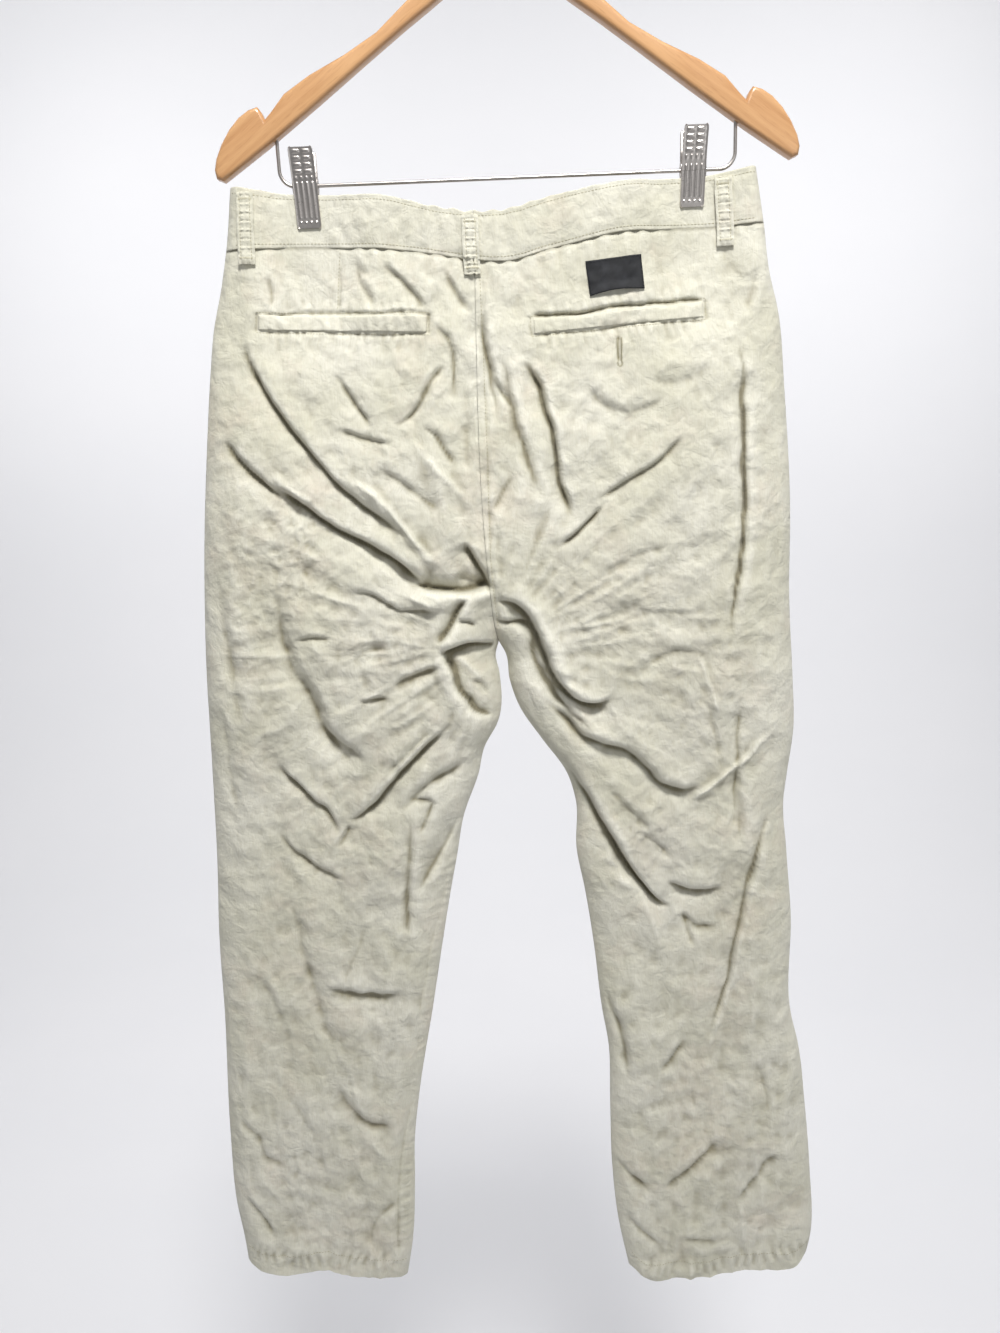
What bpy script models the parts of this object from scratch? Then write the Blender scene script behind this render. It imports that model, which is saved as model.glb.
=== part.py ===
"""Chinos held by their waistband on a wooden clip hanger.

The tables are in millimetres and the meshes in metres, +Z up. The origin is the
inside top of the hanger's hook. The back of the garment faces -Y, its front +Y,
and +X is the wearer's right. Every panel is a thin wall: its outer face is a
smooth surface worked out from the tables, and its inner face is that surface
moved in by the cloth's thickness.
"""

import math
from collections import namedtuple

import bmesh
import bpy
import numpy as np
from mathutils import Vector
from mathutils.bvhtree import BVHTree

MM = 0.001
SEAM_GAP = 0.3
CLOTH = 1.2
BAND_CLOTH = 1.8
LOOP_CLOTH = 1.8
PATCH_CLOTH = 1.0
PATCH_LIFT = 0.45

CROTCH_Z = -612.0
SEAT_CURVE_TOP_Z = -525.0
WAIST_Z = -289.0
POCKET_SLANT_END_Z = -450.0
POCKET_SLANT_TOP = 42.0
FACING_COLUMNS = 4
FRONT_WAIST_DROP = 6.0
HEM_LEVEL_Z = -1255.0
FOLD_FADE = 30.0
LIP_DISTANCE = 1.5

PINCH_SHARE = 0.8
PINCH_WIDTH = 38.0
PINCH_FADE_Z = -400.0
PINCH_POWER = 4

FLY_OVERLAP = 18.0
FLY_FLAP_WIDTH = 38.0
FLY_FLAP_OVERLAP = 7.0
FLY_CURVE_TOP_Z = -425.0
FLY_END_Z = -458.0
FLY_RAMP_START = 44.0
FLY_RAMP_LENGTH = 22.0
FLY_CELLS = (8, 14)
BUTTON_RADIUS = 8.5
BUTTON_THICK = 3.0
BUTTON_ROUND = 0.8

LOOP_WIDTH = 13.0
LOOP_STAND = 7.2
LOOP_ROWS = 8
LOOP_COLUMNS = 4
BAND_ROWS = 2
BAND_STEP = 8.0
BAND_LEAN_POWER = 4
WELT_CELLS = (2, 18)
LABEL_CELLS = (3, 6)
NORMAL_STEP = 0.02
RAY_START = 300.0
SHARP_ANGLE = 50.0

WOOD_THICK = 13.0
WOOD_ROUND = 2.5
WOOD_EDGE_ANGLE = 60.0
WIRE_RADIUS = 1.4
BAR_Z = -244.0
BAR_HALF = 177.0
BAR_BEND = 12.0
BAR_TOP_Z = -203.0
BAR_HOLE_LOW_Z = -225.0
HOOK_WIRE_RADIUS = 1.9
HOOK_RADIUS = 21.0
HOOK_TIP_ANGLE = 200.0
HOOK_TURN_ANGLE = 75.0
HOOK_STEM_END_Z = -78.0
HOOK_HOLE_TOP_Z = -50.0
FIT_GAP = 0.3

CLIP_WIDTH = 21.0
CLIP_PLATE = 1.0
SPRING_RADIUS = 3.0
SPRING_LENGTH = 19.0

Point = namedtuple("Point", "z x")
Waist = namedtuple("Waist", "x top seam")
Hem = namedtuple("Hem", "x z")
Section = namedtuple("Section", "z back front roll")
Fold = namedtuple("Fold", "x0 z0 x1 z1 bow width depth lip")
Side = namedtuple("Side", "sign outer inner hem")
Face = namedtuple("Face", "name sign edge_columns flat_columns rows")
Loop = namedtuple("Loop", "name face x_top x_bottom z_top z_bottom")
Clip = namedtuple("Clip", "side x_top x_bottom lift")
Plate = namedtuple("Plate", "z inside")
Outline = namedtuple("Outline", "x z")

# The centre seams, at the back and at the front, run straight down to the crotch.
CENTRE = (
    Point(-244, -28),
    Point(-560, -28),
    Point(-596, -25),
    Point(CROTCH_Z, -22),
)

OUTER_LEFT = (
    Point(-244, -216),
    Point(-289, -224),
    Point(-317, -231),
    Point(-347, -240),
    Point(-378, -246),
    Point(-440, -256),
    Point(-520, -267),
    Point(-612, -276),
    Point(-715, -282),
    Point(-800, -287),
    Point(-885, -294),
    Point(-955, -297),
    Point(-1095, -306),
    Point(-1170, -308),
    Point(-1222, -304),
    Point(-1250, -303),
)
OUTER_RIGHT = (
    Point(-244, 193),
    Point(-284, 200),
    Point(-319, 205),
    Point(-350, 213),
    Point(-412, 220),
    Point(-500, 227),
    Point(-587, 229),
    Point(-658, 234),
    Point(-697, 236),
    Point(-746, 231),
    Point(-768, 229),
    Point(-817, 233),
    Point(-881, 239),
    Point(-985, 242),
    Point(-1019, 250),
    Point(-1088, 259),
    Point(-1159, 266),
    Point(-1245, 269),
    Point(-1262, 266),
)
INNER_LEFT = (
    Point(CROTCH_Z, -22),
    Point(-622, -25),
    Point(-640, -22.5),
    Point(-685, -26),
    Point(-706, -38),
    Point(-732, -45),
    Point(-771, -60),
    Point(-809, -68),
    Point(-841, -75),
    Point(-896, -86),
    Point(-964, -99),
    Point(-1054, -117),
    Point(-1116, -126),
    Point(-1153, -128),
    Point(-1231, -135),
    Point(-1273, -143),
)
INNER_RIGHT = (
    Point(CROTCH_Z, -22),
    Point(-622, -17),
    Point(-647, -14),
    Point(-672, -6),
    Point(-701, 12),
    Point(-733, 33),
    Point(-760, 41),
    Point(-809, 41),
    Point(-851, 48),
    Point(-905, 55),
    Point(-977, 62),
    Point(-1010, 67),
    Point(-1079, 68),
    Point(-1150, 69),
    Point(-1211, 74),
    Point(-1279, 86),
)

# Upper edge of the waistband and the seam below it: it sags between the two clips.
WAIST = (
    Waist(-222, -244, -289),
    Waist(-180, -249, -288),
    Waist(-130, -252, -290),
    Waist(-95, -255, -293),
    Waist(-60, -264, -298),
    Waist(-25, -269, -304),
    Waist(0, -268, -305),
    Waist(25, -262, -299),
    Waist(50, -257, -294),
    Waist(80, -252, -288),
    Waist(125, -250, -286),
    Waist(155, -249, -286),
    Waist(200, -244, -284),
)
HEM_LEFT = (
    Hem(-303, -1241),
    Hem(-284, -1250),
    Hem(-258, -1254),
    Hem(-225, -1249),
    Hem(-197, -1259),
    Hem(-175, -1261),
    Hem(-143, -1268),
)
HEM_RIGHT = (
    Hem(86, -1268),
    Hem(101, -1279),
    Hem(127, -1276),
    Hem(150, -1280),
    Hem(185, -1276),
    Hem(222, -1273),
    Hem(250, -1272),
    Hem(267, -1259),
)

# How far the back and the front stand off the middle plane, and how wide the
# rounding is at the side seams and the inseams.
SECTIONS = (
    Section(WAIST_Z, 10.5, 10.5, 12),
    Section(-330, 14, 11, 26),
    Section(-400, 20, 13, 44),
    Section(-470, 24, 15, 52),
    Section(-560, 27, 17, 52),
    Section(-640, 27, 18, 50),
    Section(-720, 24, 17, 46),
    Section(-860, 20, 15, 42),
    Section(-1060, 16, 13, 36),
    Section(-1280, 13, 11, 30),
)

# Each fold is a trough along a bowed line from (x0, z0) to (x1, z1), seen from
# the back. The bow and a positive lip, the ridge beside it, are on the left of
# its direction. A negative depth makes a ridge.
BACK_FOLDS = (
    Fold(-215, -353, -93, -514, -19, 15, 7.5, -0.5),
    Fold(-237, -432, -81, -554, -7, 14, 9.0, -0.5),
    Fold(-49, -524, -30, -566, 0, 13, 6.5, 0.0),
    Fold(-145, -383, -116, -428, 3, 13, 3.0, 0.0),
    Fold(-54, -379, -100, -430, 0, 13, 4.0, 0.0),
    Fold(7, -387, 42, -513, 6, 13, 6.5, 0.5),
    Fold(-28, -347, 14, -499, -5, 13, 5.0, 0.0),
    Fold(148, -443, 62, -492, 3, 14, 4.0, 0.0),
    Fold(69, -497, 28, -530, 0, 13, 5.0, 0.0),
    Fold(178, -365, 173, -623, 9, 14, 6.5, 0.0),
    Fold(-12, -588, 42, -668, -6, 14, 7.5, 0.6),
    Fold(12, -660, 146, -746, -6, 14, 7.5, 0.5),
    Fold(32, -725, 124, -864, -6, 14, 9.0, 0.6),
    Fold(130, -836, 170, -848, 0, 14, 6.5, 0.0),
    Fold(213, -759, 159, -1010, 0, 13, 4.0, 0.0),
    Fold(180, -728, 188, -805, 0, 14, 4.0, 0.0),
    Fold(67, -831, 120, -913, 8, 18, -5.0, 0.0),
    Fold(62, -943, 85, -1045, 5, 15, 6.5, 0.0),
    Fold(205, -1024, 220, -1103, 0, 13, 4.0, 0.0),
    Fold(188, -1191, 235, -1129, 0, 14, 4.0, 0.0),
    Fold(68, -1133, 104, -1172, 0, 13, 4.0, 0.0),
    Fold(116, -1170, 175, -1112, 0, 15, 4.0, 0.0),
    Fold(79, -1200, 116, -1240, 0, 13, 3.0, 0.0),
    Fold(-50, -570, -77, -607, 0, 13, 5.0, 0.0),
    Fold(-70, -617, -26, -671, -4, 13, 5.5, 0.0),
    Fold(-213, -551, -138, -722, -15, 19, 5.0, 0.0),
    Fold(-222, -706, -169, -778, -3, 14, 5.0, 0.4),
    Fold(-63, -674, -170, -762, 7, 15, 6.5, -0.4),
    Fold(-103, -756, -118, -897, 0, 14, 4.0, 0.0),
    Fold(-61, -762, -108, -840, 0, 13, 5.0, 0.0),
    Fold(-227, -771, -164, -824, 5, 14, 3.0, 0.0),
    Fold(-224, -825, -191, -999, -4, 17, 5.0, 0.0),
    Fold(-200, -929, -123, -938, -8, 13, 4.0, 0.4),
    Fold(-198, -1033, -140, -1085, -7, 15, 4.0, 0.0),
    Fold(-295, -1071, -252, -1124, 0, 14, 4.0, 0.0),
    Fold(-297, -1158, -271, -1211, 0, 13, 3.0, 0.0),
    Fold(-145, -1171, -175, -1229, 0, 13, 3.0, 0.0),
)
FRONT_FOLDS = (
    Fold(-30, -560, -190, -470, -9, 15, 5.0, 0.4),
    Fold(-32, -590, -225, -560, 12, 15, 5.0, -0.4),
    Fold(-34, -604, -180, -680, 8, 16, 5.0, 0.0),
    Fold(-20, -560, 150, -480, 10, 15, 5.0, -0.4),
    Fold(-18, -592, 185, -585, -10, 16, 5.0, 0.4),
    Fold(-10, -612, 120, -700, -8, 15, 5.5, 0.4),
    Fold(-205, -790, -110, -830, -6, 16, 4.5, 0.4),
    Fold(-235, -850, -120, -870, 5, 16, 4.0, 0.0),
    Fold(75, -830, 190, -860, -6, 16, 4.5, 0.4),
    Fold(70, -905, 170, -885, 4, 16, 4.0, 0.0),
    Fold(-215, -980, -190, -1130, 6, 18, 4.0, 0.0),
    Fold(140, -960, 165, -1120, -6, 18, 4.0, 0.0),
    Fold(-285, -1090, -225, -1150, 0, 15, 4.0, 0.0),
    Fold(215, -1050, 175, -1170, 0, 15, 4.0, 0.0),
    Fold(-150, -400, -165, -520, 4, 16, 4.0, 0.0),
    Fold(115, -395, 125, -520, -4, 16, 4.0, 0.0),
)

SIDES = {
    "left": Side(-1, OUTER_LEFT, INNER_LEFT, HEM_LEFT),
    "right": Side(1, OUTER_RIGHT, INNER_RIGHT, HEM_RIGHT),
}
# Rows of cells: from the waist seam to the pocket's end, on to the crotch, to the hem.
BACK = Face("back", -1, 3, 10, (9, 8, 27))
FRONT = Face("front", 1, 3, 7, (7, 5, 18))
FOLDS = {"back": BACK_FOLDS, "front": FRONT_FOLDS}

LOOPS = (
    Loop("back", BACK, -31, -30.5, -272, -315),
    Loop("side_left", BACK, -203, -206, -249, -301),
    Loop("side_right", BACK, 166, 169, -251, -301),
    Loop("front_left", FRONT, -106, -106, -263, -311),
    Loop("front_right", FRONT, 76, 76, -263, -309),
)
CLIPS = (Clip("left", -158.5, -156.5, 0.0), Clip("right", 145.5, 143.0, 4.0))
CLIP_PROFILE = (
    Plate(-275, 2.8),
    Plate(-262, 2.8),
    Plate(-251, 2.9),
    Plate(-244, 3.5),
    Plate(-236, 4.6),
    Plate(-218, 8.0),
)

# Corners from the upper left, going round clockwise as seen from the back.
WELT_LEFT = ((-202, -337), (-67, -343), (-68, -358), (-203, -351))
WELT_RIGHT = ((15, -349), (152, -340), (152, -355), (15, -363))
LABEL = ((58, -309), (102, -305), (104, -331), (61, -335))

# Half of the hanger's bow, from the top of its neck round to its underside.
BOW = (
    Outline(0, -58),
    Outline(10, -59),
    Outline(17, -66),
    Outline(25, -79),
    Outline(38, -94),
    Outline(54, -107),
    Outline(71, -121),
    Outline(95, -141),
    Outline(120, -155),
    Outline(148, -168),
    Outline(168, -180),
    Outline(184, -197),
    Outline(189, -188),
    Outline(203, -194),
    Outline(215, -206),
    Outline(223, -220),
    Outline(226, -232),
    Outline(222, -239),
    Outline(184, -216),
    Outline(142, -187),
    Outline(104, -160),
    Outline(74, -139),
    Outline(53, -125),
    Outline(30, -109),
    Outline(14, -98),
    Outline(0, -94),
)


def clear_scene():
    for item in list(bpy.data.objects):
        bpy.data.objects.remove(item, do_unlink=True)


def new_collection(name):
    collection = bpy.data.collections.new(name)
    bpy.context.scene.collection.children.link(collection)
    return collection


def make_material(name, colour, roughness, metallic=0.0):
    material = bpy.data.materials.new(name)
    material.use_nodes = True
    shader = material.node_tree.nodes["Principled BSDF"]
    shader.inputs["Base Color"].default_value = (*colour, 1.0)
    shader.inputs["Roughness"].default_value = roughness
    shader.inputs["Metallic"].default_value = metallic
    return material


def add_object(name, data, material, collection):
    item = bpy.data.objects.new(name, data)
    data.materials.append(material)
    collection.objects.link(item)
    return item


def smoothstep(value):
    held = np.clip(value, 0.0, 1.0)
    return held * held * (3.0 - 2.0 * held)


def smooth(rows, at, column=1):
    """A smooth curve through a table, its first column against another, read at a value."""
    known = np.array(rows, float)
    known = known[np.argsort(known[:, 0])]
    place = known[:, 0]
    value = known[:, column]
    slope = np.gradient(value, place)
    at = np.clip(at, place[0], place[-1])
    index = np.clip(np.searchsorted(place, at, side="right") - 1, 0, len(place) - 2)
    step = place[index + 1] - place[index]
    t = (at - place[index]) / step
    start = (1.0 + 2.0 * t) * (1.0 - t) ** 2 * value[index]
    start_slope = t * (1.0 - t) ** 2 * step * slope[index]
    end = t * t * (3.0 - 2.0 * t) * value[index + 1]
    end_slope = t * t * (t - 1.0) * step * slope[index + 1]
    return start + start_slope + end + end_slope


def fold_depth(face, x, z):
    """How far all the folds of one face push its cloth inwards at a place."""
    total = np.zeros_like(x)
    for fold in FOLDS[face.name]:
        run_x = fold.x1 - fold.x0
        run_z = fold.z1 - fold.z0
        length = math.hypot(run_x, run_z)
        run_x /= length
        run_z /= length
        along = ((x - fold.x0) * run_x + (z - fold.z0) * run_z) / length
        across = (z - fold.z0) * run_x - (x - fold.x0) * run_z
        held = np.clip(along, 0.0, 1.0)
        across = across - fold.bow * 4.0 * held * (1.0 - held)
        taper = smoothstep(along * 4.0) * smoothstep((1.0 - along) * 4.0)
        trough = np.exp(-((across / fold.width) ** 2))
        beside = across - math.copysign(LIP_DISTANCE * fold.width, fold.lip)
        ridge = abs(fold.lip) * np.exp(-((beside / fold.width) ** 2))
        total += fold.depth * taper * (trough - ridge)
    return total


def inner_edge(side, z):
    """x of the centre seam above the crotch and of the inseam below it."""
    centre = smooth(CENTRE, z)
    inseam = smooth(side.inner, z)
    return np.where(z >= CROTCH_Z, centre, inseam) + side.sign * SEAM_GAP / 2.0


def slant_start(face, z):
    """How far the front panel's edge lies from the side seam, along the slant pocket."""
    share = (WAIST_Z - z) / (WAIST_Z - POCKET_SLANT_END_Z)
    slant = 1.0 + (POCKET_SLANT_TOP - 1.0) * (1.0 - np.clip(share, 0.0, 1.0))
    return np.where((z >= POCKET_SLANT_END_Z) & (face is FRONT), slant, 0.0)


def surface_y(side, face, x, z):
    """Outer face of the garment at a place: its stand-off, the clips' pinch and the folds."""
    held = np.minimum(z, WAIST_Z)
    roll = smooth(SECTIONS, held, Section._fields.index("roll"))
    depth = smooth(SECTIONS, held, Section._fields.index(face.name))
    outer = smooth(side.outer, z)
    inner = inner_edge(side, z)
    out = 1.0 - np.clip(np.abs(x - outer) / roll, 0.0, 1.0)
    into = 1.0 - np.clip(np.abs(inner - x) / roll, 0.0, 1.0)
    curve = (SEAT_CURVE_TOP_Z - z) / (SEAT_CURVE_TOP_Z - CROTCH_Z)
    closing = np.clip(curve, 0.0, 1.0) ** 2
    fullness = np.sqrt(1.0 - out * out) * np.sqrt(1.0 - closing * into * into)
    fade = smoothstep((z - PINCH_FADE_Z) / (WAIST_Z - PINCH_FADE_Z))
    pinch = np.zeros_like(x)
    for clip in CLIPS:
        away = (x - (clip.x_top + clip.x_bottom) / 2.0) / PINCH_WIDTH
        pinch = pinch + PINCH_SHARE * np.exp(-(away**PINCH_POWER))
    stand = depth * (1.0 - pinch * fade)
    inward = fold_depth(face, x, z) * fullness**2 * smoothstep((WAIST_Z - z) / FOLD_FADE)
    return face.sign * (SEAM_GAP / 2.0 + fullness * stand - inward)


def spread(column, width, roll, face):
    """Distance from the outer edge of a column, crowded in the rounding at both edges."""
    edge = face.edge_columns
    flat = face.flat_columns
    last = 2 * edge + flat
    near = roll * (1.0 - np.cos(np.clip(column / edge, 0.0, 1.0) * math.pi / 2.0))
    far = roll * (1.0 - np.cos(np.clip((last - column) / edge, 0.0, 1.0) * math.pi / 2.0))
    middle = (width - 2.0 * roll) * np.clip((column - edge) / flat, 0.0, 1.0)
    return near + middle + roll - far


def column_x(side, face, column, z):
    outer = smooth(side.outer, z)
    inner = inner_edge(side, z)
    width = np.abs(inner - outer)
    roll = smooth(SECTIONS, np.minimum(z, WAIST_Z), Section._fields.index("roll"))
    start = slant_start(face, z)
    away = start + spread(column, width, roll, face) * (width - start) / width
    return outer - side.sign * away


def waist_z(face, x, field):
    """Height of the waistband's edge or seam, a little lower at the front's middle."""
    left = OUTER_LEFT[1].x
    right = OUTER_RIGHT[1].x
    share = np.clip((x - left) / (right - left), 0.0, 1.0)
    drop = FRONT_WAIST_DROP * np.sin(math.pi * share) if face is FRONT else 0.0
    return smooth(WAIST, x, Waist._fields.index(field)) - drop


def row_z(side, face, column, row):
    """Height of a row: level at the pocket's end and the crotch, bent at waist and hem."""
    seam = waist_z(face, column_x(side, face, column, np.full_like(column, WAIST_Z)), "seam")
    hem = smooth(side.hem, column_x(side, face, column, np.full_like(column, HEM_LEVEL_Z)))
    upper, middle, lower = np.cumsum(face.rows)
    first = seam + (POCKET_SLANT_END_Z - seam) * row / upper
    share = np.clip((row - upper) / (middle - upper), 0.0, 1.0)
    second = POCKET_SLANT_END_Z + (CROTCH_Z - POCKET_SLANT_END_Z) * share
    third = CROTCH_Z + (hem - CROTCH_Z) * (row - middle) / (lower - middle)
    return np.where(row <= upper, first, np.where(row <= middle, second, third))


def panel_point(side, face, column, row):
    z = row_z(side, face, column, row)
    x = column_x(side, face, column, z)
    return np.stack([x, surface_y(side, face, x, z), z], axis=-1)


def unit(vectors):
    return vectors / np.linalg.norm(vectors, axis=-1, keepdims=True)


def inward_normal(side, face, point_at, column, row, last_column, last_row):
    """Unit normals into the garment, from small steps along the columns and the rows."""
    left = np.maximum(column - NORMAL_STEP, 0.0)
    right = np.minimum(column + NORMAL_STEP, last_column)
    above = np.maximum(row - NORMAL_STEP, 0.0)
    below = np.minimum(row + NORMAL_STEP, last_row)
    along = point_at(side, face, right, row) - point_at(side, face, left, row)
    down = point_at(side, face, column, below) - point_at(side, face, column, above)
    return side.sign * face.sign * unit(np.cross(along, down))


def panel_wall(side, face):
    """Outer and inner points of a leg panel, with flat faces at its seams."""
    last_column = 2 * face.edge_columns + face.flat_columns
    last_row = sum(face.rows)
    row, column = np.mgrid[0 : last_row + 1, 0 : last_column + 1].astype(float)
    outer = panel_point(side, face, column, row)
    normal = inward_normal(side, face, panel_point, column, row, last_column, last_row)
    normal[0, :, 2] = 0.0
    at_side_seam = slant_start(face, outer[:, 0, 2]) == 0.0
    normal[at_side_seam, 0, 1] = 0.0
    above_crotch = outer[:, -1, 2] > CROTCH_Z + 1.0
    normal[above_crotch, -1, 0] = 0.0
    normal[~above_crotch, -1, 1] = 0.0
    return outer, outer + CLOTH * unit(normal)


def facing_point(side, face, column, row):
    """The strip between the side seam and the slant edge of the front panel."""
    share = 1.0 - np.cos(column / FACING_COLUMNS * math.pi / 2.0)
    top_x = side.outer[1].x - side.sign * POCKET_SLANT_TOP * share
    seam = waist_z(face, top_x, "seam")
    z = seam + (POCKET_SLANT_END_Z - seam) * row / face.rows[0]
    width = slant_start(face, z) - SEAM_GAP
    x = smooth(side.outer, z) - side.sign * width * share
    return np.stack([x, surface_y(side, face, x, z), z], axis=-1)


def facing_wall(side):
    last_row = FRONT.rows[0]
    row, column = np.mgrid[0 : last_row + 1, 0 : FACING_COLUMNS + 1].astype(float)
    outer = facing_point(side, FRONT, column, row)
    normal = inward_normal(side, FRONT, facing_point, column, row, FACING_COLUMNS, last_row)
    normal[0, :, 2] = 0.0
    normal[:, 0, 1] = 0.0
    return outer, outer + CLOTH * unit(normal)


def band_line(side, face):
    """Corners of the waist seam from the side to the centre, with middles in long stretches."""
    columns = np.arange(2.0 * face.edge_columns + face.flat_columns + 1.0)
    corners = panel_point(side, face, columns, np.zeros_like(columns))
    if face is FRONT:
        columns = np.arange(FACING_COLUMNS + 1.0)
        facing = facing_point(side, face, columns, np.zeros_like(columns))
        corners = np.concatenate([facing, corners])
    long = np.abs(np.diff(corners[:, 0])) > BAND_STEP
    middles = (corners[1:] + corners[:-1])[long] / 2.0
    middles[:, 1] = surface_y(side, face, middles[:, 0], middles[:, 2])
    corners = np.concatenate([corners, middles])
    corners = corners[np.argsort(-side.sign * corners[:, 0])]
    if face is FRONT and side.sign < 0:
        laps = corners[[-1, -1]] + np.array([[FLY_OVERLAP / 2.0, 0, 0], [FLY_OVERLAP, 0, 0]])
        corners = np.concatenate([corners, laps])
        ramp = (corners[:, 0] - CENTRE[0].x + FLY_RAMP_START) / FLY_RAMP_LENGTH
        corners[:, 1] += (BAND_CLOTH + SEAM_GAP) * smoothstep(ramp)
    return corners


def band_wall(side):
    """Half of the waistband, from centre back round the side to centre front."""
    back = band_line(side, BACK)
    front = band_line(side, FRONT)
    front[0, 1] = 0.0
    line = np.concatenate([back[:0:-1], front])
    face_top = [waist_z(BACK, back[:0:-1, 0], "top"), waist_z(FRONT, front[:, 0], "top")]
    top = np.concatenate(face_top)
    seam = line[:, 2] + SEAM_GAP
    side_x = smooth(side.outer, seam)
    away = ((line[:, 0] - CENTRE[0].x) / (side_x - CENTRE[0].x)) ** BAND_LEAN_POWER
    rows = []
    for share in np.linspace(0.0, 1.0, BAND_ROWS + 1):
        z = top + (seam - top) * share
        # The band leans in above the seam, mostly near the side.
        x = line[:, 0] + (smooth(side.outer, z) - side_x) * away
        rows.append(np.stack([x, line[:, 1], z], axis=-1))
    outer = np.array(rows)
    along = np.gradient(outer, axis=1)
    level = np.zeros(outer.shape[:2])
    normal = -side.sign * np.stack([along[..., 1], -along[..., 0], level], axis=-1)
    normal[:, 0, 0] = 0.0
    normal[:, -1, 0] = 0.0
    return outer, outer + BAND_CLOTH * unit(normal)


def grid_faces(rows, columns, start, flip):
    """Triangles of one grid of points, all split along the same diagonal."""
    faces = []
    for row in range(rows - 1):
        for column in range(columns - 1):
            a = start + row * columns + column
            corners = (a, a + 1, a + columns + 1, a + columns)
            if flip:
                corners = corners[::-1]
                faces.append((corners[3], corners[0], corners[1]))
                faces.append((corners[3], corners[1], corners[2]))
            else:
                faces.append(corners[:3])
                faces.append((corners[0], corners[2], corners[3]))
    return faces


def border(rows, columns):
    """Indices once round the edge of a grid."""
    top = [column for column in range(columns)]
    right = [row * columns + columns - 1 for row in range(1, rows)]
    bottom = [(rows - 1) * columns + column for column in range(columns - 2, -1, -1)]
    left = [row * columns for row in range(rows - 2, 0, -1)]
    return top + right + bottom + left


def wall_object(name, walls, material, collection):
    """A closed wall between two grids of points, outer and inner."""
    outer, inner = walls
    rows, columns = outer.shape[:2]
    count = rows * columns
    faces = grid_faces(rows, columns, 0, False) + grid_faces(rows, columns, count, True)
    edge = border(rows, columns)
    for a, b in zip(edge, edge[1:] + edge[:1]):
        faces.append((a, a + count, b + count))
        faces.append((a, b + count, b))
    points = np.concatenate([outer.reshape(-1, 3), inner.reshape(-1, 3)]) * MM
    data = bpy.data.meshes.new(name)
    data.from_pydata(points.tolist(), [], faces)
    shape = bmesh.new()
    shape.from_mesh(data)
    bmesh.ops.recalc_face_normals(shape, faces=shape.faces)
    shape.to_mesh(data)
    shape.free()
    data.shade_smooth()
    data.set_sharp_from_angle(angle=math.radians(SHARP_ANGLE))
    return add_object(name, data, material, collection)


def tree_of(item):
    points = [corner.co / MM for corner in item.data.vertices]
    return BVHTree.FromPolygons(points, [tuple(face.vertices) for face in item.data.polygons])


def top_of(trees, face, x, z):
    """Stand-off of the garment's outermost face at a place, from the middle plane."""
    found = 0.0
    for tree in trees:
        start = Vector((x, face.sign * RAY_START, z))
        hit = tree.ray_cast(start, Vector((0.0, -face.sign, 0.0)))[0]
        if hit is not None:
            found = max(found, face.sign * hit.y)
    return found


def laid_wall(trees, face, x, z, cloth):
    """A patch over a grid of places, resting just off whatever lies below it."""
    stand = np.empty(x.shape)
    for place in np.ndindex(x.shape):
        stand[place] = top_of(trees, face, x[place], z[place]) + PATCH_LIFT
    inner = np.stack([x, face.sign * stand, z], axis=-1)
    return inner + np.array([0.0, face.sign * cloth, 0.0]), inner


def corner_grid(corners, cells):
    """x and z of a grid that fills a four-sided outline."""
    rows, columns = cells
    down, across = np.mgrid[0 : rows + 1, 0 : columns + 1].astype(float)
    down /= rows
    across /= columns
    upper = np.multiply.outer(1.0 - across, corners[0]) + np.multiply.outer(across, corners[1])
    lower = np.multiply.outer(1.0 - across, corners[3]) + np.multiply.outer(across, corners[2])
    grid = upper * (1.0 - down[..., None]) + lower * down[..., None]
    return grid[..., 0], grid[..., 1]


def flap_grid():
    """The fly flap: straight at the centre front, curving in to it at the bottom."""
    columns, rows = FLY_CELLS
    down, across = np.mgrid[0 : rows + 1, 0 : columns + 1].astype(float)
    centre = CENTRE[0].x
    top = waist_z(FRONT, np.full_like(down, centre), "seam") - 1.0
    z = top + (FLY_END_Z - top) * down / rows
    turn = np.clip((FLY_CURVE_TOP_Z - z) / (FLY_CURVE_TOP_Z - FLY_END_Z), 0.0, 1.0)
    width = FLY_FLAP_WIDTH * np.sqrt(1.0 - turn * turn)
    right = centre + FLY_FLAP_OVERLAP
    return right - (width + FLY_FLAP_OVERLAP) * (1.0 - across / columns), z


def loop_wall(trees, loop):
    """A belt loop: seated at both ends and standing clear of the band between them."""
    row, column = np.mgrid[0 : LOOP_ROWS + 1, 0 : LOOP_COLUMNS + 1].astype(float)
    share = row / LOOP_ROWS
    x = loop.x_top + (loop.x_bottom - loop.x_top) * share
    x = x + (column / LOOP_COLUMNS - 0.5) * LOOP_WIDTH
    z = loop.z_top + (loop.z_bottom - loop.z_top) * share
    inner_y = np.empty(x.shape)
    for place in np.ndindex(x.shape):
        inner_y[place] = top_of(trees, loop.face, x[place], z[place])
    line = inner_y[0] + (inner_y[-1] - inner_y[0]) * share
    arch = smoothstep(4.0 * share) * smoothstep(4.0 * (1.0 - share))
    stand = np.maximum(inner_y, line) + PATCH_LIFT + LOOP_STAND * arch
    inner = np.stack([x, loop.face.sign * stand, z], axis=-1)
    return inner + np.array([0.0, loop.face.sign * LOOP_CLOTH, 0.0]), inner


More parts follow.
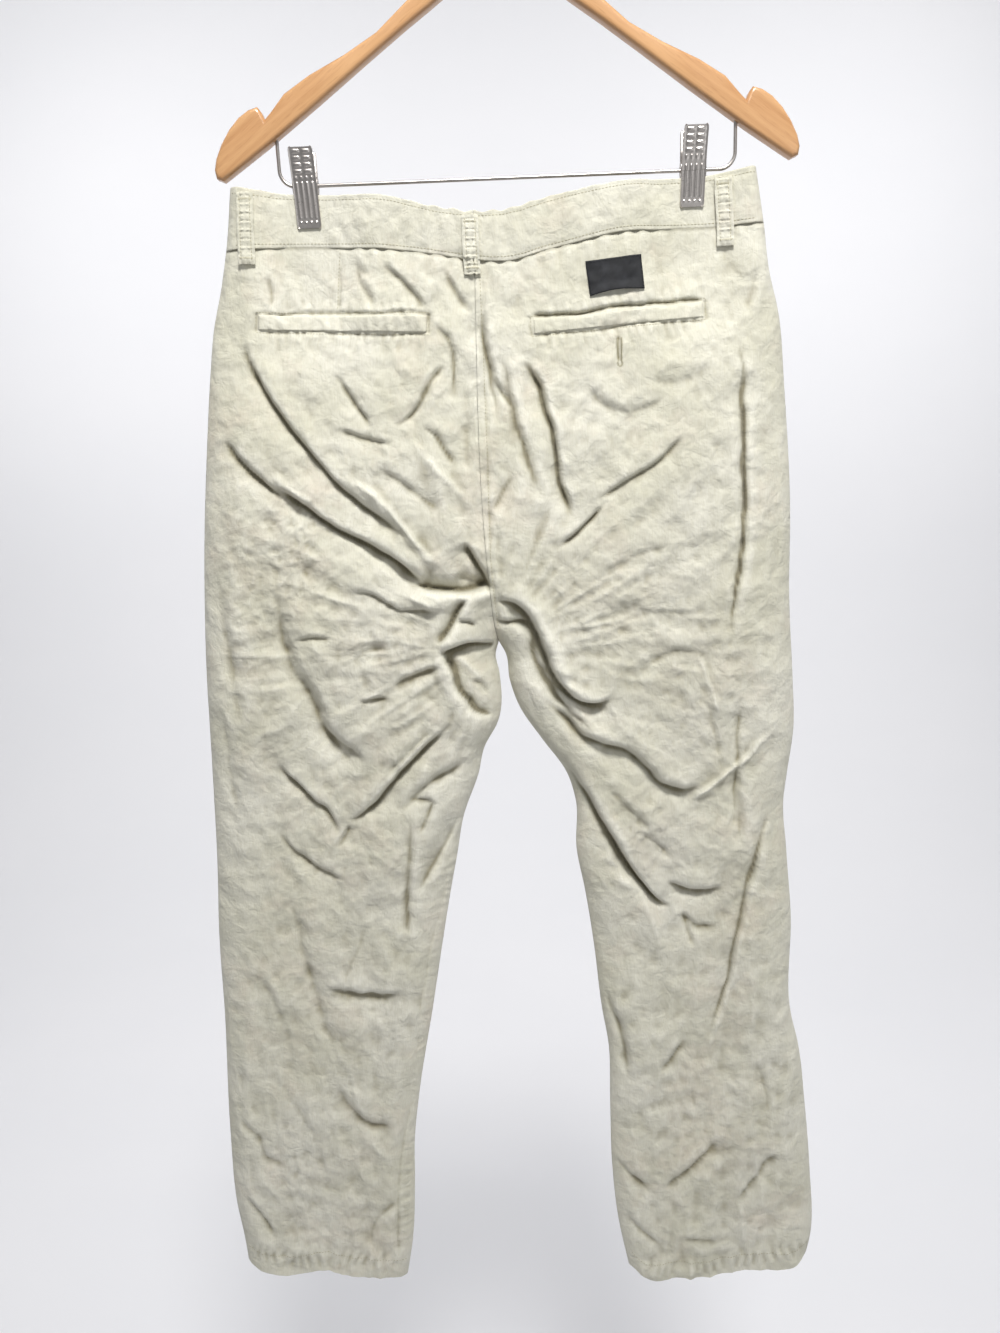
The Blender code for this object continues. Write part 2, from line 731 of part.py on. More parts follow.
def wire(name, points, radius, material, collection):
    """A round wire through points in millimetres."""
    data = bpy.data.curves.new(name, "CURVE")
    data.dimensions = "3D"
    data.bevel_depth = radius * MM
    data.bevel_resolution = 2
    data.use_fill_caps = True
    spline = data.splines.new("POLY")
    spline.points.add(len(points) - 1)
    for corner, place in zip(spline.points, points):
        corner.co = (place[0] * MM, place[1] * MM, place[2] * MM, 1.0)
    return add_object(name, data, material, collection)


def arc(centre_x, centre_z, radius, start, end, steps):
    """Points on an arc in the hanger's plane, angles in degrees from +X."""
    turns = np.radians(np.linspace(start, end, steps + 1))
    return [(centre_x + radius * math.cos(t), 0.0, centre_z + radius * math.sin(t)) for t in turns]


def drill(item, name, x, z_low, z_high, radius, cutters):
    """A round vertical hole, cut from a piece by a hidden cylinder."""
    shape = bmesh.new()
    height = (z_high - z_low) * MM
    bmesh.ops.create_cone(
        shape, cap_ends=True, segments=16, radius1=radius * MM, radius2=radius * MM, depth=height
    )
    bmesh.ops.translate(shape, verts=shape.verts, vec=(x * MM, 0.0, (z_low + z_high) / 2.0 * MM))
    data = bpy.data.meshes.new(name)
    shape.to_mesh(data)
    shape.free()
    cutter = bpy.data.objects.new(name, data)
    cutter.hide_render = True
    cutter.display_type = "WIRE"
    cutters.objects.link(cutter)
    cut = item.modifiers.new(name, "BOOLEAN")
    cut.operation = "DIFFERENCE"
    cut.object = cutter


def add_bow(material, collection, cutters):
    """The wooden bow: half an outline and its mirror image, extruded and rounded."""
    right = [(corner.x, corner.z) for corner in BOW]
    left = [(-x, z) for x, z in right[1:-1]]
    shape = bmesh.new()
    half = WOOD_THICK / 2.0
    corners = [shape.verts.new((x * MM, -half * MM, z * MM)) for x, z in right + left[::-1]]
    flat = shape.faces.new(corners)
    grown = bmesh.ops.extrude_face_region(shape, geom=[flat])["geom"]
    moved = [part for part in grown if isinstance(part, bmesh.types.BMVert)]
    bmesh.ops.translate(shape, verts=moved, vec=(0.0, WOOD_THICK * MM, 0.0))
    bmesh.ops.recalc_face_normals(shape, faces=shape.faces)
    data = bpy.data.meshes.new("hanger_bow")
    shape.to_mesh(data)
    shape.free()
    item = add_object("hanger_bow", data, material, collection)
    rounded = item.modifiers.new("rounded", "BEVEL")
    rounded.width = WOOD_ROUND * MM
    rounded.segments = 2
    rounded.angle_limit = math.radians(WOOD_EDGE_ANGLE)
    hook_hole = HOOK_WIRE_RADIUS + FIT_GAP
    drill(item, "cut_hook_hole", 0.0, HOOK_STEM_END_Z - FIT_GAP, HOOK_HOLE_TOP_Z, hook_hole, cutters)
    for name, sign in (("left", -1), ("right", 1)):
        x = sign * BAR_HALF
        top = BAR_TOP_Z + FIT_GAP
        bar_hole = WIRE_RADIUS + FIT_GAP
        drill(item, f"cut_bar_hole_{name}", x, BAR_HOLE_LOW_Z, top, bar_hole, cutters)


def add_hook(material, collection):
    """A round hook whose wire turns back to the middle and runs down into the bow."""
    centre_z = HOOK_WIRE_RADIUS - HOOK_RADIUS
    points = arc(0.0, centre_z, HOOK_RADIUS, HOOK_TIP_ANGLE, -HOOK_TURN_ANGLE, 22)
    end_x = points[-1][0]
    turn = end_x / (1.0 - math.cos(math.radians(HOOK_TURN_ANGLE)))
    bend_z = points[-1][2] - turn * math.sin(math.radians(HOOK_TURN_ANGLE))
    points += arc(turn, bend_z, turn, 180.0 - HOOK_TURN_ANGLE, 180.0, 5)[1:]
    points += [(0.0, 0.0, HOOK_STEM_END_Z)]
    wire("hanger_hook", points, HOOK_WIRE_RADIUS, material, collection)


def add_bar(material, collection):
    """The wire bar: up into the bow at both ends, with a round bend at each corner."""
    bend = BAR_HALF - BAR_BEND
    points = [(-BAR_HALF, 0.0, BAR_TOP_Z)]
    points += arc(-bend, BAR_Z + BAR_BEND, BAR_BEND, 180.0, 270.0, 6)
    points += arc(bend, BAR_Z + BAR_BEND, BAR_BEND, 270.0, 360.0, 6)
    points += [(BAR_HALF, 0.0, BAR_TOP_Z)]
    wire("hanger_bar", points, WIRE_RADIUS, material, collection)


def add_clip(clip, material, collection):
    """Two bent plates that grip the band, and the rolled spring between them on the bar."""
    for face, name in ((BACK, "back"), (FRONT, "front")):
        inner = []
        for level in CLIP_PROFILE:
            share = (level.z - CLIP_PROFILE[0].z) / (CLIP_PROFILE[-1].z - CLIP_PROFILE[0].z)
            middle = clip.x_bottom + (clip.x_top - clip.x_bottom) * share
            # The plate bends round the bar, which stays level while the clips don't.
            z = level.z + (clip.lift if level.z != BAR_Z else 0.0)
            ends = (middle - CLIP_WIDTH / 2.0, middle + CLIP_WIDTH / 2.0)
            inner.append([(x, face.sign * level.inside, z) for x in ends])
        inner = np.array(inner)
        outer = inner + np.array([0.0, face.sign * CLIP_PLATE, 0.0])
        wall_object(f"clip_{clip.side}_{name}", (outer, inner), material, collection)
    x = (clip.x_top + clip.x_bottom) / 2.0
    add_spring(f"clip_{clip.side}_spring", x, material, collection)


def add_spring(name, x, material, collection):
    """A sleeve round the bar, turned from the outline of its wall."""
    inner = (WIRE_RADIUS + FIT_GAP) * MM
    outer = SPRING_RADIUS * MM
    half = SPRING_LENGTH / 2.0 * MM
    profile = [(outer, half), (outer, -half), (inner, -half), (inner, half)]
    shape = bmesh.new()
    corners = [shape.verts.new((radius, 0.0, along)) for radius, along in profile]
    for a, b in zip(corners, corners[1:] + corners[:1]):
        shape.edges.new((a, b))
    data = bpy.data.meshes.new(name)
    shape.to_mesh(data)
    shape.free()
    item = add_object(name, data, material, collection)
    turned = item.modifiers.new("turned", "SCREW")
    turned.steps = 16
    turned.render_steps = 16
    turned.use_merge_vertices = True
    turned.merge_threshold = 0.00001
    item.rotation_euler = (0.0, math.pi / 2.0, 0.0)
    item.location = (x * MM, 0.0, BAR_Z * MM)


def add_button(trees, material, collection):
    """A round button on the end of the left half of the band, at centre front."""
    x = CENTRE[0].x
    middle = np.array([float(x)])
    z = (waist_z(FRONT, middle, "top")[0] + waist_z(FRONT, middle, "seam")[0]) / 2.0
    stand = top_of(trees, FRONT, x, z) + PATCH_LIFT + BUTTON_THICK / 2.0
    bpy.ops.mesh.primitive_cylinder_add(
        vertices=24,
        radius=BUTTON_RADIUS * MM,
        depth=BUTTON_THICK * MM,
        location=(x * MM, stand * MM, z * MM),
        rotation=(math.pi / 2.0, 0.0, 0.0),
    )
    item = bpy.context.object
    item.name = "waist_button"
    item.data.materials.append(material)
    rounded = item.modifiers.new("rounded", "BEVEL")
    rounded.width = BUTTON_ROUND * MM
    rounded.segments = 2
    for holder in list(item.users_collection):
        holder.objects.unlink(item)
    collection.objects.link(item)


def build():
    clear_scene()
    chinos = new_collection("chinos_on_hanger")
    cutters = new_collection("cutters")
    twill = make_material("twill", (0.62, 0.60, 0.48), 0.9)
    woven = make_material("woven_label", (0.02, 0.02, 0.022), 0.8)
    horn = make_material("button", (0.45, 0.40, 0.32), 0.35)
    wood = make_material("lacquered_wood", (0.55, 0.30, 0.13), 0.35)
    steel = make_material("bright_steel", (0.72, 0.72, 0.72), 0.22, 1.0)

    back_trees = []
    front_trees = []
    for name, side in SIDES.items():
        back = wall_object(f"back_panel_{name}", panel_wall(side, BACK), twill, chinos)
        front = wall_object(f"front_panel_{name}", panel_wall(side, FRONT), twill, chinos)
        wall_object(f"front_pocket_facing_{name}", facing_wall(side), twill, chinos)
        band = wall_object(f"waistband_{name}", band_wall(side), twill, chinos)
        back_trees += [tree_of(back), tree_of(band)]
        front_trees += [tree_of(front), tree_of(band)]

    x, z = corner_grid(WELT_LEFT, WELT_CELLS)
    welt = laid_wall(back_trees, BACK, x, z, PATCH_CLOTH)
    wall_object("back_pocket_welt_left", welt, twill, chinos)
    x, z = corner_grid(WELT_RIGHT, WELT_CELLS)
    welt = laid_wall(back_trees, BACK, x, z, PATCH_CLOTH)
    wall_object("back_pocket_welt_right", welt, twill, chinos)
    x, z = corner_grid(LABEL, LABEL_CELLS)
    label = laid_wall(back_trees, BACK, x, z, PATCH_CLOTH)
    wall_object("label_patch", label, woven, chinos)
    x, z = flap_grid()
    flap = laid_wall(front_trees, FRONT, x, z, PATCH_CLOTH)
    wall_object("fly_flap", flap, twill, chinos)
    add_button(front_trees, horn, chinos)
    for loop in LOOPS:
        trees = back_trees if loop.face is BACK else front_trees
        wall_object(f"belt_loop_{loop.name}", loop_wall(trees, loop), twill, chinos)

    add_bow(wood, chinos, cutters)
    add_hook(steel, chinos)
    add_bar(steel, chinos)
    for clip in CLIPS:
        add_clip(clip, steel, chinos)


build()
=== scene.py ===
"""Chinos on a wooden clip hanger, seen from the back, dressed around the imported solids."""

import math
from collections import namedtuple

import bmesh
import bpy
import numpy as np
from mathutils import Matrix, Vector, noise
from mathutils.bvhtree import BVHTree


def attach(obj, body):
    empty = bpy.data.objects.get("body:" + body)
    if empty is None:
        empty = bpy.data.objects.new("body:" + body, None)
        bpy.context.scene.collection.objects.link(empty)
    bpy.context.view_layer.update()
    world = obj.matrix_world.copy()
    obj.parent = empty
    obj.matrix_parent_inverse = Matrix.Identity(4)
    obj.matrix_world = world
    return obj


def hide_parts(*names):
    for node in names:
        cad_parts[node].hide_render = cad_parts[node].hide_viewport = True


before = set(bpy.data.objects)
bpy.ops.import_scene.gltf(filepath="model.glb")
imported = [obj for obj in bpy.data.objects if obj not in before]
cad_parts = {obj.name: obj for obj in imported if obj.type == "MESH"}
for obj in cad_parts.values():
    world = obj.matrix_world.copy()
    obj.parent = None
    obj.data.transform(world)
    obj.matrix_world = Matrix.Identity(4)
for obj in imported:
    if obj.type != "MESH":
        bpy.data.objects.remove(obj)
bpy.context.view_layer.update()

# The view: a phone's wide lens held at chest height, less than a metre away, tipped down
# and a little to the right. The garment hangs in front of plain pale paper, lit by a soft
# light above its middle, with a much weaker wide one to fill the room.
MM = 0.001
CAMERA_PLACE = Vector((-22.0, -818.0, -438.4)) * MM
CAMERA_TIP = math.radians(76.5)
CAMERA_ROLL = math.radians(-2.4)

camera_data = bpy.data.cameras.new("camera")
camera_data.lens = 26.0
camera = bpy.data.objects.new("camera", camera_data)
bpy.context.scene.collection.objects.link(camera)
tipped = Matrix.Rotation(CAMERA_TIP, 4, "X") @ Matrix.Rotation(CAMERA_ROLL, 4, "Z")
camera.matrix_world = Matrix.Translation(CAMERA_PLACE) @ tipped
bpy.context.scene.camera = camera
bpy.context.scene.view_settings.view_transform = "Standard"


def add_light(name, place, aim, size, power, colour, hidden=False):
    light = bpy.data.lights.new(name, "AREA")
    light.shape = "DISK"
    light.size = size
    light.energy = power
    light.color = colour
    lamp = bpy.data.objects.new(name, light)
    bpy.context.scene.collection.objects.link(lamp)
    toward = Vector(aim) - Vector(place)
    lamp.rotation_euler = toward.to_track_quat("-Z", "Y").to_euler()
    lamp.location = place
    lamp.visible_camera = not hidden


add_light("window", (0.12, -1.02, 1.12), (0.0, 0.0, -0.62), 0.4, 47.0, (1.0, 0.995, 0.99), True)
add_light("room", (1.1, -1.5, -0.5), (0.0, 0.0, -0.8), 1.4, 5.0, (0.95, 0.97, 1.0), True)
for word, x in (("left", -1.7), ("right", 1.7)):
    add_light(f"paper_{word}", (x, 1.2, 0.9), (x * 0.4, 4.0, -1.5), 1.2, 33.0, (1.0, 1.0, 1.0), True)

world = bpy.data.worlds.new("room_light")
world.use_nodes = True
world.node_tree.nodes["Background"].inputs["Color"].default_value = (0.93, 0.95, 1.0, 1.0)
world.node_tree.nodes["Background"].inputs["Strength"].default_value = 0.3
bpy.context.scene.world = world


def new_material(name, roughness, metallic=0.0):
    """A material, its nodes and its shader."""
    material = bpy.data.materials.new(name)
    material.use_nodes = True
    shader = material.node_tree.nodes["Principled BSDF"]
    shader.inputs["Roughness"].default_value = roughness
    shader.inputs["Metallic"].default_value = metallic
    return material, material.node_tree, shader


def add_node(tree, kind, **settings):
    """A node with its settings, and a list in "inputs" of (socket, value or other socket)."""
    made = tree.nodes.new(kind)
    inputs = settings.pop("inputs", ())
    for setting, value in settings.items():
        setattr(made, setting, value)
    for socket, value in inputs:
        if isinstance(value, bpy.types.NodeSocket):
            tree.links.new(value, made.inputs[socket])
        else:
            made.inputs[socket].default_value = value
    return made


def linear(red, green, blue):
    """A colour given as seen on a screen, 0 to 255, as the shader takes it."""
    screen = np.array([red, green, blue]) / 255.0
    low = screen / 12.92
    high = ((screen + 0.055) / 1.055) ** 2.4
    return (*np.where(screen <= 0.04045, low, high).tolist(), 1.0)


paper, tree, shader = new_material("pale_paper", 0.95)
fibre = add_node(tree, "ShaderNodeTexNoise", inputs=[("Scale", 9.0), ("Detail", 3.0)])
tint = add_node(
    tree,
    "ShaderNodeMix",
    data_type="RGBA",
    inputs=[(0, fibre.outputs["Fac"]), (6, linear(243, 242, 243)), (7, linear(236, 236, 238))],
)
tree.links.new(tint.outputs[2], shader.inputs["Base Color"])

PAPER_RUN = 11.0
PAPER_FRONT = 2.4
PAPER_FLOOR = 4.4
PAPER_BEND = 1.4
PAPER_LEVEL = -2.3
shape = bmesh.new()
bmesh.ops.create_grid(shape, x_segments=1, y_segments=60, size=1.0)
for corner in shape.verts:
    # The paper runs back over the floor, bends up in a quarter turn and rises behind.
    run = (corner.co.y + 1.0) * PAPER_RUN / 2.0
    turn = min(max((run - PAPER_FLOOR) / (PAPER_BEND * math.pi / 2.0), 0.0), 1.0) * math.pi / 2.0
    rise = max(run - PAPER_FLOOR - PAPER_BEND * math.pi / 2.0, 0.0)
    depth = min(run, PAPER_FLOOR) + PAPER_BEND * math.sin(turn) - PAPER_FRONT
    height = PAPER_BEND * (1.0 - math.cos(turn)) + rise + PAPER_LEVEL
    corner.co = Vector((corner.co.x * 5.0, depth, height))
paper_mesh = bpy.data.meshes.new("paper_sweep")
shape.to_mesh(paper_mesh)
shape.free()
paper_mesh.shade_smooth()
paper_mesh.materials.append(paper)
paper_sweep = bpy.data.objects.new("paper_sweep", paper_mesh)
bpy.context.scene.collection.objects.link(paper_sweep)


# The hanger's bow: one piece of pale hardwood, sawn from a board, its edges rounded over with a
# cutter, a notch cut near each end, then sanded and sprayed with clear lacquer.
WOOD_THICK = 13.0
WOOD_ROUND = 3.6
BOW_HALF = (
    (0, -58),
    (6, -58),
    (11, -60),
    (17, -66),
    (25, -79),
    (38, -94),
    (54, -107),
    (71, -121),
    (95, -141),
    (120, -155),
    (148, -168),
    (168, -180),
    (179, -192),
    (184, -197),
    (186, -192),
    (189, -188),
    (196, -190),
    (204, -195),
    (212, -203),
    (219, -213),
    (224, -223),
    (226, -231),
    (225, -237),
    (220, -239),
    (212, -234),
    (184, -216),
    (142, -187),
    (104, -160),
    (74, -139),
    (53, -125),
    (30, -109),
    (14, -98),
    (0, -94),
)


def add_piece(name, mesh, material):
    """Puts a finished mesh in the scene, on the object's one body."""
    mesh.materials.append(material)
    piece = bpy.data.objects.new(name, mesh)
    bpy.context.scene.collection.objects.link(piece)
    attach(piece, "root")
    return piece


def mesh_of(shape, name, sharp=40.0):
    """The finished bmesh as a smooth-shaded mesh."""
    mesh = bpy.data.meshes.new(name)
    shape.to_mesh(mesh)
    shape.free()
    mesh.shade_smooth()
    mesh.set_sharp_from_angle(angle=math.radians(sharp))
    return mesh


group = bpy.data.node_groups.new("worn_surface", "ShaderNodeTree")
group.interface.new_socket("Vector", in_out="INPUT", socket_type="NodeSocketVector")
group.interface.new_socket("Size", in_out="INPUT", socket_type="NodeSocketFloat")
group.interface.new_socket("Patches", in_out="OUTPUT", socket_type="NodeSocketFloat")
group.interface.new_socket("Scratches", in_out="OUTPUT", socket_type="NodeSocketFloat")
group_in = add_node(group, "NodeGroupInput")
group_out = add_node(group, "NodeGroupOutput")
patches = add_node(
    group,
    "ShaderNodeTexNoise",
    inputs=[
        ("Vector", group_in.outputs["Vector"]),
        ("Scale", group_in.outputs["Size"]),
        ("Detail", 4.0),
        ("Roughness", 0.6),
    ],
)
fine = add_node(
    group, "ShaderNodeMath", operation="MULTIPLY", inputs=[(0, group_in.outputs["Size"]), (1, 9.0)]
)
scratches = add_node(
    group,
    "ShaderNodeTexNoise",
    inputs=[
        ("Vector", group_in.outputs["Vector"]),
        ("Scale", fine.outputs[0]),
        ("Detail", 2.0),
        ("Distortion", 1.2),
    ],
)
group.links.new(patches.outputs["Fac"], group_out.inputs["Patches"])
group.links.new(scratches.outputs["Fac"], group_out.inputs["Scratches"])
worn_surface = group

wood, tree, shader = new_material("lacquered_beech", 0.3)
shader.inputs["Coat Weight"].default_value = 0.45
shader.inputs["Coat Roughness"].default_value = 0.16
place = add_node(tree, "ShaderNodeTexCoord")
parts = add_node(tree, "ShaderNodeSeparateXYZ", inputs=[(0, place.outputs["Object"])])
mirrored = add_node(tree, "ShaderNodeMath", operation="ABSOLUTE", inputs=[(0, parts.outputs[0])])
arm = add_node(
    tree,
    "ShaderNodeCombineXYZ",
    inputs=[(0, mirrored.outputs[0]), (1, parts.outputs[1]), (2, parts.outputs[2])],
)
# Both arms run down at the same slope, so the grain is turned to lie along them.
along_arm = add_node(
    tree,
    "ShaderNodeMapping",
    vector_type="POINT",
    inputs=[("Vector", arm.outputs[0]), ("Rotation", (0.0, math.radians(-36.0), 0.0))],
)
stretched = add_node(
    tree,
    "ShaderNodeMapping",
    inputs=[("Vector", along_arm.outputs[0]), ("Scale", (9.0, 150.0, 150.0))],
)
rings = add_node(
    tree,
    "ShaderNodeTexNoise",
    inputs=[("Vector", stretched.outputs[0]), ("Scale", 1.0), ("Detail", 5.0), ("Distortion", 0.5)],
)
fleck_place = add_node(
    tree,
    "ShaderNodeMapping",
    inputs=[("Vector", along_arm.outputs[0]), ("Scale", (90.0, 1500.0, 1500.0))],
)
flecks = add_node(
    tree,
    "ShaderNodeTexNoise",
    inputs=[("Vector", fleck_place.outputs[0]), ("Scale", 1.0), ("Detail", 2.0)],
)
grain = add_node(tree, "ShaderNodeValToRGB", inputs=[(0, rings.outputs["Fac"])])
grain.color_ramp.elements[0].position = 0.34
grain.color_ramp.elements[0].color = linear(184, 136, 90)
grain.color_ramp.elements[1].position = 0.66
grain.color_ramp.elements[1].color = linear(206, 160, 112)
fleck_share = add_node(
    tree,
    "ShaderNodeMapRange",
    inputs=[("Value", flecks.outputs["Fac"]), ("From Min", 0.55), ("From Max", 0.75), ("To Max", 0.4)],
)
flecked = add_node(
    tree,
    "ShaderNodeMix",
    data_type="RGBA",
    inputs=[
        (0, fleck_share.outputs[0]),
        (6, grain.outputs["Color"]),
        (7, linear(160, 110, 68)),
    ],
)
tree.links.new(flecked.outputs[2], shader.inputs["Base Color"])
wear = add_node(tree, "ShaderNodeGroup", node_tree=worn_surface)
tree.links.new(place.outputs["Object"], wear.inputs["Vector"])
wear.inputs["Size"].default_value = 40.0
gloss = add_node(
    tree,
    "ShaderNodeMapRange",
    inputs=[("Value", wear.outputs["Patches"]), ("To Min", 0.24), ("To Max", 0.44)],
)
tree.links.new(gloss.outputs[0], shader.inputs["Roughness"])
relief = add_node(
    tree,
    "ShaderNodeBump",
    inputs=[("Strength", 0.12), ("Distance", 0.0004), ("Height", flecks.outputs["Fac"])],
)
tree.links.new(relief.outputs[0], shader.inputs["Normal"])

shape = bmesh.new()
right = [(x, z) for x, z in BOW_HALF]
outline = right + [(-x, z) for x, z in right[-2:0:-1]]
front = shape.faces.new(
    [shape.verts.new((x * MM, -WOOD_THICK / 2.0 * MM, z * MM)) for x, z in outline]
)
grown = bmesh.ops.extrude_face_region(shape, geom=[front])["geom"]
moved = [part for part in grown if isinstance(part, bmesh.types.BMVert)]
bmesh.ops.translate(shape, verts=moved, vec=(0.0, WOOD_THICK * MM, 0.0))
bmesh.ops.recalc_face_normals(shape, faces=shape.faces)
rims = [edge for edge in shape.edges if abs(edge.calc_face_angle(0.0)) > math.radians(60.0)]
rims = [edge for edge in rims if abs(edge.verts[0].co.y - edge.verts[1].co.y) < MM]
bmesh.ops.bevel(
    shape,
    geom=rims,
    offset=WOOD_ROUND * MM,
    offset_type="OFFSET",
    segments=5,
    profile=0.5,
    affect="EDGES",
    material=-1,
    clamp_overlap=True,
)
bow = add_piece("bow", mesh_of(shape, "bow"), wood)
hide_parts("hanger_bow")


# The hook and the bar: hard-drawn steel wire, cut, bent round formers and plated bright.
# The hook is screwed into the top of the bow and the bar is pushed into it at both ends.
HOOK_WIRE = 1.9
HOOK_RADIUS = 21.0
HOOK_STEM_END = -78.0
BAR_WIRE = 1.4
BAR_LEVEL = -244.0
BAR_HALF = 177.0
BAR_BEND = 12.0
BAR_TOP = -203.0

steel, tree, shader = new_material("plated_steel", 0.2, 0.92)
place = add_node(tree, "ShaderNodeTexCoord")
wear = add_node(tree, "ShaderNodeGroup", node_tree=worn_surface)
tree.links.new(place.outputs["Object"], wear.inputs["Vector"])
wear.inputs["Size"].default_value = 120.0
plate_tint = add_node(
    tree,
    "ShaderNodeMix",
    data_type="RGBA",
    inputs=[(0, wear.outputs["Patches"]), (6, linear(206, 200, 194)), (7, linear(168, 162, 156))],
)
tree.links.new(plate_tint.outputs[2], shader.inputs["Base Color"])
gloss = add_node(
    tree,
    "ShaderNodeMapRange",
    inputs=[("Value", wear.outputs["Scratches"]), ("To Min", 0.2), ("To Max", 0.42)],
)
tree.links.new(gloss.outputs[0], shader.inputs["Roughness"])
relief = add_node(
    tree,
    "ShaderNodeBump",
    inputs=[("Strength", 0.1), ("Distance", 0.0002), ("Height", wear.outputs["Scratches"])],
)
tree.links.new(relief.outputs[0], shader.inputs["Normal"])


def arc(centre_x, centre_z, radius, start, end, steps):
    """Points on an arc in the hanger's plane, angles in degrees from +X."""
    turns = np.radians(np.linspace(start, end, steps + 1))
    return [(centre_x + radius * math.cos(t), 0.0, centre_z + radius * math.sin(t)) for t in turns]


def add_wire(name, points, radius, material):
    """A round wire with capped ends, along points in millimetres."""
    curve = bpy.data.curves.new(name, "CURVE")
    curve.dimensions = "3D"
    curve.bevel_depth = radius * MM
    curve.bevel_resolution = 4
    curve.use_fill_caps = True
    line = curve.splines.new("POLY")
    line.points.add(len(points) - 1)
    for corner, at in zip(line.points, points):
        corner.co = (at[0] * MM, at[1] * MM, at[2] * MM, 1.0)
    return add_piece(name, curve, material)


lean = math.radians(75.0)
points = arc(0.0, HOOK_WIRE - HOOK_RADIUS, HOOK_RADIUS, 200.0, -75.0, 48)
turn = points[-1][0] / (1.0 - math.cos(lean))
bend_level = points[-1][2] - turn * math.sin(lean)
points += arc(turn, bend_level, turn, 105.0, 180.0, 12)[1:]
points += [(0.0, 0.0, HOOK_STEM_END)]
hook = add_wire("hook", points, HOOK_WIRE, steel)
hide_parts("hanger_hook")

bend = BAR_HALF - BAR_BEND
points = [(-BAR_HALF, 0.0, BAR_TOP)]
points += arc(-bend, BAR_LEVEL + BAR_BEND, BAR_BEND, 180.0, 270.0, 12)
points += arc(bend, BAR_LEVEL + BAR_BEND, BAR_BEND, 270.0, 360.0, 12)
points += [(BAR_HALF, 0.0, BAR_TOP)]
bar = add_wire("bar", points, BAR_WIRE, steel)
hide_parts("hanger_bar")


# The clips: two plates pressed from 1 mm strip, each with two columns of raised ovals for
# the finger and thumb above four long ribs, ears folded in round the bar, and a coil
# spring on the bar whose ends push the plates' tops apart. They are plated bright.
CLIP_WIDTH = 18.4
CLIP_PLATE = 1.0
Clip = namedtuple("Clip", "side x_top x_bottom lift")
CLIPS = (Clip("left", -158.5, -156.5, 0.0), Clip("right", 145.5, 143.0, 4.0))
PLATE_BEND = ((-275, 2.8), (-262, 2.8), (-251, 2.9), (-244, 3.5), (-236, 4.6), (-218, 8.0))
PLATE_CELLS = (54, 144)
OVAL_ROWS = (0.055, 0.135, 0.215, 0.295)
OVAL_COLUMNS = (0.29, 0.71)
RIBS = (0.17, 0.39, 0.61, 0.83)


def unit_grid(name, columns, rows):
    """A grid over the unit square, with each point's share across and down."""
    shape = bmesh.new()
    bmesh.ops.create_grid(shape, x_segments=columns, y_segments=rows, size=0.5)
    shape.verts.ensure_lookup_table()
    flat = np.array([corner.co for corner in shape.verts])
    return shape, flat[:, 0] + 0.5, 0.5 - flat[:, 1]


def move_to(shape, points):
    for corner, at in zip(shape.verts, points.tolist()):
        corner.co = at


def smoothstep(value):
    held = np.clip(value, 0.0, 1.0)
    return held * held * (3.0 - 2.0 * held)


def smooth(rows, at, column=1):
    """A smooth curve through a table, its first column against another, read at a value."""
    known = np.array(rows, float)
    known = known[np.argsort(known[:, 0])]
    place = known[:, 0]
    value = known[:, column]
    slope = np.gradient(value, place)
    at = np.clip(at, place[0], place[-1])
    index = np.clip(np.searchsorted(place, at, side="right") - 1, 0, len(place) - 2)
    step = place[index + 1] - place[index]
    t = (at - place[index]) / step
    start = (1.0 + 2.0 * t) * (1.0 - t) ** 2 * value[index]
    start_slope = t * (1.0 - t) ** 2 * step * slope[index]
    end = t * t * (3.0 - 2.0 * t) * value[index + 1]
    end_slope = t * t * (t - 1.0) * step * slope[index + 1]
    return start + start_slope + end + end_slope


def pressed_pattern(across, down):
    """How far the press has raised the plate: ovals, a row of dots, ribs and the rolled rim."""
    raised = np.zeros_like(across)
    for row in OVAL_ROWS:
        for column in OVAL_COLUMNS:
            away = ((across - column) / 0.155) ** 4 + ((down - row) / 0.024) ** 4
            raised += 0.75 * np.exp(-away)
    for column in RIBS:
        dot = ((across - column) / 0.055) ** 2 + ((down - 0.365) / 0.018) ** 2
        raised += 0.6 * np.exp(-dot)
        within = smoothstep((down - 0.41) / 0.02) * smoothstep((0.88 - down) / 0.02)
        raised += 0.7 * np.exp(-(((across - column) / 0.045) ** 2)) * within
        foot = ((across - column) / 0.045) ** 2 + ((down - 0.925) / 0.012) ** 2
        raised += 0.5 * np.exp(-foot)
    rim = np.minimum(across, 1.0 - across)
    return raised + 0.45 * np.exp(-((rim / 0.035) ** 2))


